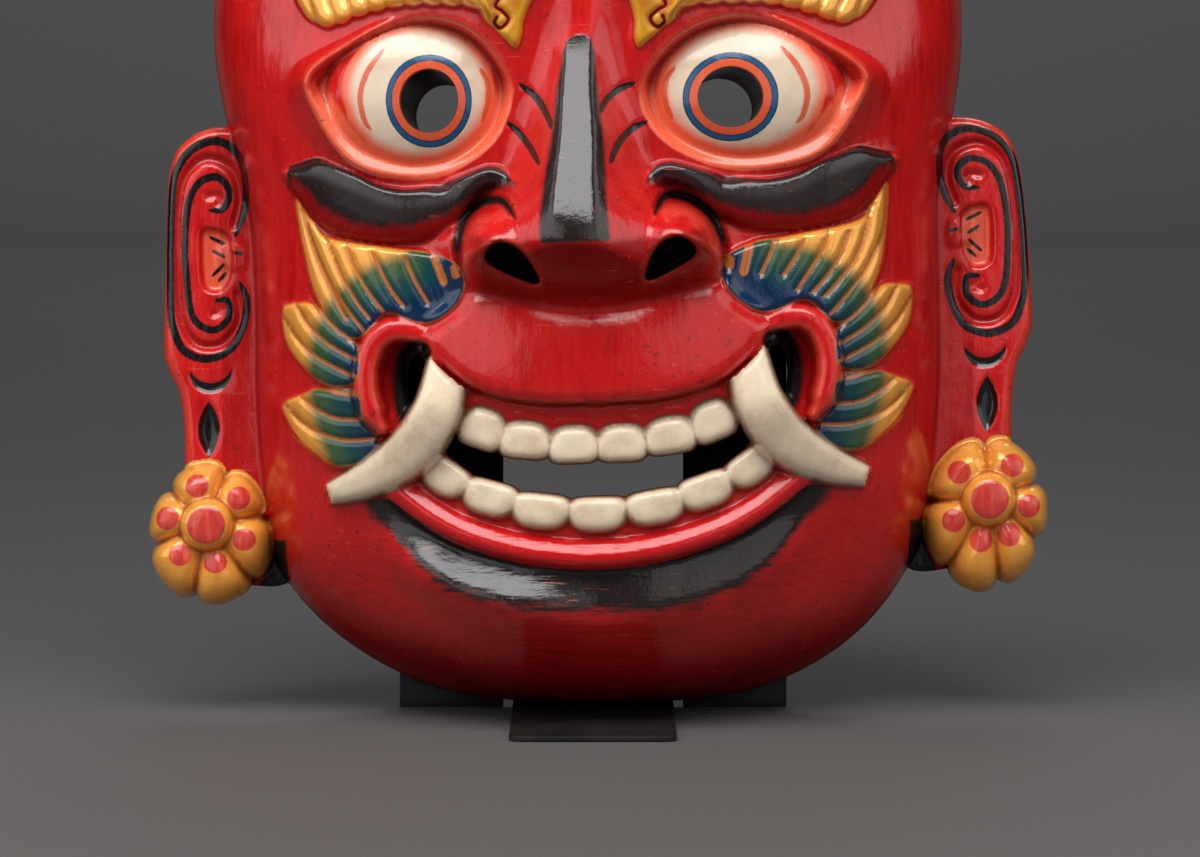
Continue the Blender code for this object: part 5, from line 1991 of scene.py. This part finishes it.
@dataclass
class Mask:
    """The whole mask: carved front, hollow back, pierced mouth and eyes, painted."""

    face: Face = field(default_factory=Face)
    brow: Brow = field(default_factory=Brow)
    eye: Eye = field(default_factory=Eye)
    corner: MouthCorner = field(default_factory=MouthCorner)
    teeth: Teeth = field(default_factory=Teeth)
    fang: Fang = field(default_factory=Fang)
    ear: Ear = field(default_factory=Ear)
    flower: Flower = field(default_factory=Flower)
    step: float = 0.9
    triangles: int = 190_000
    wall: float = 5.0  # least wood between the front and the hollow
    slant: Points = ((7.5, 6.5), (5.0, 4.5))  # eye holes, each side
    slant_reach: float = 46.0
    rear: float = 63.5  # stand's back edge behind the origin
    setback: float = 5.3  # rim to the outer face of the stand's panel
    lift: float = 3.3  # chin over the floor
    sharp: float = math.radians(52.0)
    relief: float = 0.45  # depth of the marks that keep paint edges
    low_drift: float = 5.0  # centre line of the chin, to one side
    eye_drift: float = 8.5  # centre line at the eyes, to the other side
    low_tilt: float = 0.033
    high_tilt: float = 0.025

    @property
    def features(self) -> tuple[Feature, ...]:
        """Carved features in the order in which they are cut."""
        return (Edge(), self.brow, self.eye, Sash(), Muzzle(), Feathers(), self.corner, self.teeth,
                Chin(), self.fang, Nose(), Ornament(), self.ear, self.flower)

    def front(self, at: Plan) -> Array:
        """Carve every feature into the plain face.

        Args:
            at: the places.

        Returns:
            The front's height over the plane of the rim.
        """
        p = self.face.height(at)
        for feature in self.features:
            here = feature.holds(at)
            p[here] = feature.carve(p[here], at.part(here))
        return np.maximum(p, self.face.hollow_height(at) + self.wall)

    def paint(self, at: Plan) -> Fields:
        """Every paint field.

        Args:
            at: the places.

        Returns:
            The paint fields.
        """
        fields = {coat: np.full(at.x.shape, coat.nothing) for coat in Coat}
        for feature in self.features:
            here = feature.holds(at)
            for coat, value in feature.paint(at.part(here)).items():
                fields[coat][here] = np.maximum(fields[coat][here], value)
        return fields

    def body(self, at: Plan) -> Array:
        """Signed distance into the outline, with the ears and flowers."""
        board = np.maximum(self.face.head.inside(at, 60.0), self.ear.outline.inside(at))
        return np.maximum(board, 30.0 * (1.0 - self.flower.lobes(at)[0]))

    def wood(self, at: Plan) -> Array:
        """Distance into the wood: the outline less the openings.

        Args:
            at: the places.

        Returns:
            The signed distance, positive in the wood.
        """
        s, t = at.s, at.t
        solid = np.maximum(9.0 * (1.0 - np.sqrt(self.teeth.tooth(at))),
                           12.0 * (1.0 - self.fang.share(at)[0]))
        mouth = inside_path(across(self.teeth.mouth_top, self.teeth.mouth_low), s, t, 30.0)
        gap = np.minimum(np.maximum(mouth, self.corner.hole.inside(at)), -solid)
        middle_s, middle_t, radius = self.eye.pupil
        pupil = radius - np.hypot(s - middle_s, t - middle_t)
        return np.minimum(self.body(at), -np.maximum(gap, pupil))

    def marks(self, fields: Fields) -> Array:
        """Shallow steps along the edges of the paint.

        Args:
            fields: the paint fields.

        Returns:
            The height of the steps.
        """
        edges = (Coat.GOLD, Coat.QUILL, Coat.CREAM, Coat.VEIN, Coat.INK, Coat.DOT, Coat.CURL,
                 Coat.GUM)
        marks = sum(np.tanh(fields[coat] / 0.9) for coat in edges)
        marks = marks + sum(np.tanh(fields[Coat.RING] + r)
                            for r in (PUPIL_EDGE, IRIS_EDGE, IRIS_OUT))
        marks = marks + 1.2 * np.tanh(fields[Coat.BALL] * 12.0)
        soft = (Coat.BLACK_AND_SHADE, Coat.CORAL, Coat.SHADE, Coat.HUE)
        return self.relief * (marks + sum(fields[coat] for coat in soft))

    def skew(self, at: Plan) -> tuple[Array, Array]:
        """The carver's drift of the centre line and tilt of the features.

        Args:
            at: the places.

        Returns:
            The places after it, across and up.
        """
        u, w = at.x.copy(), at.t.copy()
        for _ in range(3):
            drift = self.low_drift * (1.0 - smooth(w, 200.0, 360.0))
            drift = drift - self.eye_drift * bell(w - 285.0, 70.0) * bell(u, 120.0)
            tilt = self.low_tilt * smooth(w, 15.0, 90.0)
            tilt = tilt - self.high_tilt * smooth(w, 240.0, 320.0)
            u, w = at.x + drift, at.t + tilt * at.x
        return u, w - w.min()

    def place(self, u: Array, w: Array, p: Array) -> Array:
        """Bring points from the mask's plane into the part's frame.

        Args:
            u: place across, in millimetres.
            w: place up the plane.
            p: height over the plane.

        Returns:
            The points in metres, one row each.
        """
        y = w * math.sin(LEAN) - p * math.cos(LEAN) + self.rear - self.setback / math.cos(LEAN)
        z = w * math.cos(LEAN) + p * math.sin(LEAN) + self.lift
        return np.stack([u, y, z], axis=-1) * MM

    def shell(self, blank: Blank) -> tuple[Piece, Array]:
        """Closed mask on its plane, thinned where it is plain.

        Args:
            blank: the grid to cut it from.

        Returns:
            The object, in millimetres, and the front's height on the grid.
        """
        heights = softened(self.front(blank.plan).reshape(blank.shape)).ravel()
        flat, faces = blank.cut(self.wood(blank.plan))
        p = blank.sample(heights, flat) + self.marks(self.paint(flat))
        n = len(p)
        points = np.vstack([np.stack([flat.x, flat.t, p], axis=1),
                            np.stack([flat.x, flat.t, self.face.hollow_height(flat)], axis=1)])
        turned = np.vstack([faces[:, [0, 1]], faces[:, [1, 2]], faces[:, [2, 0]]])
        _, first, count = np.unique(np.sort(turned, axis=1), axis=0, return_index=True,
                                    return_counts=True)
        rim = turned[first[count == 1]]
        walls = np.vstack([np.stack([rim[:, 1], rim[:, 0], rim[:, 0] + n], axis=1),
                           np.stack([rim[:, 1], rim[:, 0] + n, rim[:, 1] + n], axis=1)])
        every = np.vstack([faces, faces[:, ::-1] + n, walls])
        piece = add_piece("mask_blank", points, every)
        thin = piece.modifiers.new("thin", "DECIMATE")
        thin.ratio = min(1.0, self.triangles / len(every))
        log.info("mask blank: %d triangles before thinning", len(every))
        return settled(piece, "carved_mask"), heights

    def build(self) -> Piece:
        """Carve and place the mask.

        Returns:
            The finished piece, still undressed.
        """
        blank = Blank(self.step)
        piece, heights = self.shell(blank)
        mesh = piece.data
        flat = np.empty(3 * len(mesh.vertices))
        mesh.vertices.foreach_get("co", flat)
        x, t, z = flat.reshape(-1, 3).T
        at = Plan(x, t)
        hollow = self.face.hollow_height(at)
        outward = smooth(z - hollow, 0.5, self.wall - 0.5)
        fields = self.paint(at)
        fields[Coat.REAR] = 1.0 - outward - 0.5 * smooth(self.body(at), 7.0, 2.0)
        # Raised places get the worn-edge field; hollows get grime and painted shade.
        lump = blank.sample(heights - spread(heights.reshape(blank.shape), 2).ravel(), at)
        fields[Coat.CREST] = np.clip(lump / 0.9, 0.0, 1.0)
        fields[Coat.GRIME_AND_SHADE] = np.maximum(fields[Coat.GRIME_AND_SHADE], np.clip(-lump / 1.6 - 0.1, 0.0, 0.8))
        z = z - outward * self.marks(fields)
        u, w = self.skew(at)
        for side, (inwards, down) in zip(SIDES, self.slant):
            far = np.hypot(x - side * self.eye.pupil[0], t - self.eye.pupil[1])
            share = smooth(far, self.slant_reach, self.eye.pupil[2]) * (1.0 - outward)
            u, w = u - side * inwards * share, w - down * share
        mesh.vertices.foreach_set("co", self.place(u, w, z).ravel())
        for coat, value in fields.items():
            layer = mesh.attributes.new(coat.attribute, "FLOAT", "POINT")
            layer.data.foreach_set("value", value.astype(np.float32))
        mesh.shade_smooth()
        mesh.set_sharp_from_angle(angle=self.sharp)
        mesh.update()
        log.info("%s: %d triangles", piece.name, len(mesh.polygons))
        return piece

    def dress(self, piece: Piece, finish: PaintedWood) -> None:
        """Give the mask its finish and its place in the frame.

        Args:
            piece: the carved mask.
            finish: what it is painted with.
        """
        piece.data.materials.append(finish.build())
        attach(piece, "root")
        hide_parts("mask")


# ---- the stand
@dataclass
class Stand:
    """One bent sheet: a tongue on the floor, a tight bend, and a leaning panel on two feet."""

    sheet: float = 3.0
    width: float = 198.0
    height: float = 250.0
    shift: float = 2.5
    window_width: float = 92.0
    window_low: float = 12.0
    window_high: float = 142.0
    tongue_width: float = 82.0
    tongue_length: float = 127.0
    corner: float = 5.0
    bend: float = 2.0
    edge: float = 0.5
    rows: int = 60

    @property
    def radius(self) -> float:
        """Bend radius in the middle of the sheet."""
        return self.bend + self.sheet / 2.0

    @property
    def tongue_flat(self) -> float:
        """Flat length of the tongue, in front of the bend."""
        return self.tongue_length - self.sheet - self.bend

    def up(self, height: float) -> float:
        """Way along the leaning panel from its bend to a height over the floor."""
        start = self.sheet + self.bend - self.radius * math.sin(LEAN)
        return (height - start) / math.cos(LEAN)

    def tree(self, steel: bpy.types.Material) -> bpy.types.NodeTree:
        """Lay out the flat blank in cells, then bend it.

        Args:
            steel: the sheet's material.

        Returns:
            The node tree.
        """
        group = bpy.data.node_groups.new("bent_sheet", "GeometryNodeTree")
        face = group.interface
        face.new_socket("Geometry", in_out="OUTPUT", socket_type="NodeSocketGeometry")
        face.new_socket("Geometry", in_out="INPUT", socket_type="NodeSocketGeometry")
        for name in ("Bend radius", "Lean", "Middle back", "Middle up", "Tongue end",
                     "Tongue half width", "Corner"):
            face.new_socket(name, in_out="INPUT", socket_type="NodeSocketFloat")
        tree = Tree(group)
        given = tree.node("NodeGroupInput")
        radius, lean, back, level, end, half, corner = (
            Wire(tree, given.outputs[i]) for i in range(1, 8))
        spot = tree.node("ShaderNodeSeparateXYZ", {0: tree.wire("GeometryNodeInputPosition")})
        x, v = (Wire(tree, spot.outputs[i]) for i in (0, 1))

        turn = tree.math("MINIMUM", (v * -1.0).most(0.0) / radius, QUARTER - lean)
        angle = (lean + turn) * -1.0
        over = (v * -1.0 - (QUARTER - lean) * radius).most(0.0)
        climb = v.most(0.0)
        y = back + radius * tree.math("COSINE", angle) + climb * tree.math("SINE", lean) - over
        z = level + radius * tree.math("SINE", angle) + climb * tree.math("COSINE", lean)
        near_end = (corner - (end - over)).most(0.0)
        cut = corner - tree.math("SQRT", (corner * corner - near_end * near_end).most(0.0))
        narrow = x * (1.0 - cut / half)
        bent = tree.wire("ShaderNodeCombineXYZ", {0: narrow, 1: y, 2: z})
        leaning = tree.wire("ShaderNodeCombineXYZ", {
            0: x, 1: back + radius * tree.math("COSINE", lean) + v * tree.math("SINE", lean),
            2: level - radius * tree.math("SINE", lean) + v * tree.math("COSINE", lean)})

        def cells(x_span: Pair, v_span: Pair, to: Wire, rows: int = 1) -> Wire:
            """Add one rectangle of the flat blank and bend it.

            Args:
                x_span: its sides.
                v_span: its ends along the blank.
                to: where the bending puts its points.
                rows: how many cells it has along the blank.

            Returns:
                The bent rectangle.
            """
            (left, right), (low, high) = x_span, v_span
            grid = tree.wire("GeometryNodeMeshGrid", {
                "Size X": (right - left) * MM, "Size Y": (high - low) * MM,
                "Vertices X": 9 if to is bent else 2, "Vertices Y": rows + 1}, "Mesh")
            middle = ((left + right) / 2.0 * MM, (low + high) / 2.0 * MM, 0.0)
            laid = tree.wire("GeometryNodeTransform", {"Geometry": grid, "Translation": middle})
            return tree.wire("GeometryNodeSetPosition", {"Geometry": laid, "Position": to})

        tongue, opening, side = self.tongue_width / 2, self.window_width / 2, self.width / 2
        start, low, high, top, foot = (0.0, self.up(self.window_low), self.up(self.window_high),
                                       self.up(self.height), self.up(0.0))
        arc_length = (QUARTER - LEAN) * self.radius
        flat = self.tongue_flat
        whole = (-tongue, tongue)
        parts = [cells(whole, (-arc_length - flat, -arc_length), bent, self.rows),
                 cells(whole, (-arc_length, start), bent, 8), cells(whole, (start, low), bent)]
        for sign in SIDES:
            leg = tuple(sorted((sign * opening, sign * side)))
            neck = tuple(sorted((sign * tongue, sign * opening)))
            parts.append(cells(neck, (start, low), leaning))
            parts += [cells(leg, span, leaning)
                      for span in ((foot, start), (start, low), (low, high), (high, top))]
        parts.append(cells((-opening, opening), (high, top), leaning))
        joined = tree.node("GeometryNodeJoinGeometry")
        for part in parts:
            group.links.new(part.socket, joined.inputs[0])
        welded = tree.wire("GeometryNodeMergeByDistance", {
            "Geometry": Wire(tree, joined.outputs[0]), "Distance": 0.05 * MM})
        real = tree.wire("GeometryNodeRealizeInstances", {"Geometry": welded})
        dressed = tree.wire("GeometryNodeSetMaterial", {"Geometry": real, "Material": steel})
        tree.node("NodeGroupOutput", {0: dressed})
        return group

    def build(self, finish: BlackSteel) -> Piece:
        """Cut, bend and thicken the sheet.

        Args:
            finish: the sheet's finish.

        Returns:
            The finished piece.
        """
        steel = finish.build()
        piece = add_piece("stand_blank", np.zeros((1, 3)), [])
        bender = piece.modifiers.new("bent sheet", "NODES")
        bender.node_group = self.tree(steel)
        sizes = {"Bend radius": self.radius * MM, "Lean": LEAN,
                 "Middle back": (self.tongue_length / 2 - self.sheet - self.bend) * MM,
                 "Middle up": (self.sheet + self.bend) * MM, "Tongue end": self.tongue_flat * MM,
                 "Tongue half width": self.tongue_width / 2 * MM, "Corner": self.corner * MM}
        for item in bender.node_group.interface.items_tree:
            if item.in_out == "INPUT" and item.name in sizes:
                bender[item.identifier] = sizes[item.name]
        thick = piece.modifiers.new("thickness", "SOLIDIFY")
        thick.thickness = self.sheet * MM
        thick.offset = 0.0
        thick.use_even_offset = True
        soft = piece.modifiers.new("edges", "BEVEL")
        soft.width = self.edge * MM
        soft.segments = 2
        soft.angle_limit = math.radians(60.0)
        piece = settled(piece, "bent_stand")
        piece.data.transform(Matrix.Translation((self.shift * MM, 0.0, 0.0)))
        piece.data.shade_smooth()
        piece.data.set_sharp_from_angle(angle=math.radians(35.0))
        log.info("%s: %d faces", piece.name, len(piece.data.polygons))
        return piece

    def dress(self, piece: Piece, finish: BlackSteel) -> None:
        """Give the stand its place in the frame.

        Args:
            piece: the bent sheet.
            finish: the finish that is already on it; not used.
        """
        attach(piece, "root")
        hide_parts("stand")


# ---- the studio
@dataclass(frozen=True)
class Lamp:
    """A soft rectangular light: where it stands, its size, its power and what it faces."""

    name: str
    place: Place
    size: Pair
    watts: float
    aim: Place = (0.0, 0.0, 0.27)

    def hang(self) -> None:
        """Put the light into the scene."""
        lamp = bpy.data.lights.new(self.name, "AREA")
        lamp.shape = "RECTANGLE"
        lamp.size, lamp.size_y = self.size
        lamp.energy = self.watts
        item = bpy.data.objects.new(self.name, lamp)
        item.location = self.place
        way = Vector(self.aim) - Vector(self.place)
        item.rotation_euler = way.to_track_quat("-Z", "Y").to_euler()
        bpy.context.scene.collection.objects.link(item)


@dataclass
class Studio:
    """Pale paper sweep, soft lights and the camera."""

    paper: StudioSurface = StudioSurface()
    bend: float = 4.7  # where the paper starts to rise
    bend_radius: float = 0.9
    half_paper: float = 16.0
    wall_top: float = 4.5
    lamps: tuple[Lamp, ...] = (
        Lamp("key", (-0.25, -1.05, 1.95), (2.5, 1.1), 52.0),
        Lamp("left_panel", (-0.86, -1.25, 0.62), (1.0, 1.0), 3.5),
        Lamp("right_panel", (0.74, -1.35, 0.62), (1.0, 1.0), 2.2),
        Lamp("left_side", (-1.50, -0.45, 0.85), (1.3, 1.15), 6.4),
        Lamp("right_side", (1.50, -0.45, 0.85), (1.3, 1.15), 6.0),
        Lamp("paper_light", (0.0, 3.0, 3.2), (3.6, 1.6), 60.0, (0.0, 5.6, 0.2)),
        Lamp("back_fill", (0.3, 2.2, 1.9), (1.6, 0.9), 6.0))
    ambient: Colour = (0.035, 0.035, 0.036)
    view_from: Place = (0.006, -2.580, 0.374)
    view_down: float = math.radians(5.0)
    view_width: float = 2.0 * math.atan(300.0 / 2600.0)

    def build(self) -> None:
        """Lay the paper sweep, set lights and camera."""
        turns = np.linspace(0.0, QUARTER, 17)
        radius, wide = self.bend_radius, self.half_paper
        line = [(self.bend + radius * math.sin(a), radius - radius * math.cos(a)) for a in turns]
        line = [(-wide, 0.0)] + line + [(self.bend + radius, self.wall_top)]
        points = np.array([(x, y, z) for y, z in line for x in (-wide, wide)])
        faces = [[2 * i, 2 * i + 1, 2 * i + 3, 2 * i + 2] for i in range(len(line) - 1)]
        sweep = add_piece("floor", points, faces)
        sweep.data.materials.append(self.paper.build())
        sweep.data.shade_smooth()
        for lamp in self.lamps:
            lamp.hang()
        self.hang_sky()
        self.place_camera()
        bpy.context.scene.view_settings.view_transform = "Standard"
        log.info("studio: paper sweep, lights and camera")

    def hang_sky(self) -> None:
        """Weak even light from all sides."""
        world = bpy.data.worlds.new("studio")
        world.use_nodes = True
        world.node_tree.nodes.clear()
        tree = Tree(world.node_tree)
        sky = tree.wire("ShaderNodeBackground", {"Color": (*self.ambient, 1.0), "Strength": 1.0})
        tree.node("ShaderNodeOutputWorld", {"Surface": sky})
        bpy.context.scene.world = world

    def place_camera(self) -> None:
        """Camera square to the mask's plane."""
        lens = bpy.data.cameras.new("camera")
        lens.sensor_fit = "HORIZONTAL"
        lens.angle_x = self.view_width
        item = bpy.data.objects.new("camera", lens)
        item.location = self.view_from
        item.rotation_euler = (QUARTER - self.view_down, 0.0, 0.0)
        bpy.context.scene.collection.objects.link(item)
        bpy.context.scene.camera = item


def main() -> None:
    """Build and dress every piece, and set up the studio."""
    logging.basicConfig(level=logging.INFO, format="%(message)s")
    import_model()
    mask = Mask()
    carved = mask.build()
    mask.dress(carved, PaintedWood())
    stand, steel = Stand(), BlackSteel()
    stand.dress(stand.build(steel), steel)
    Studio().build()


if __name__ == "__main__":
    main()
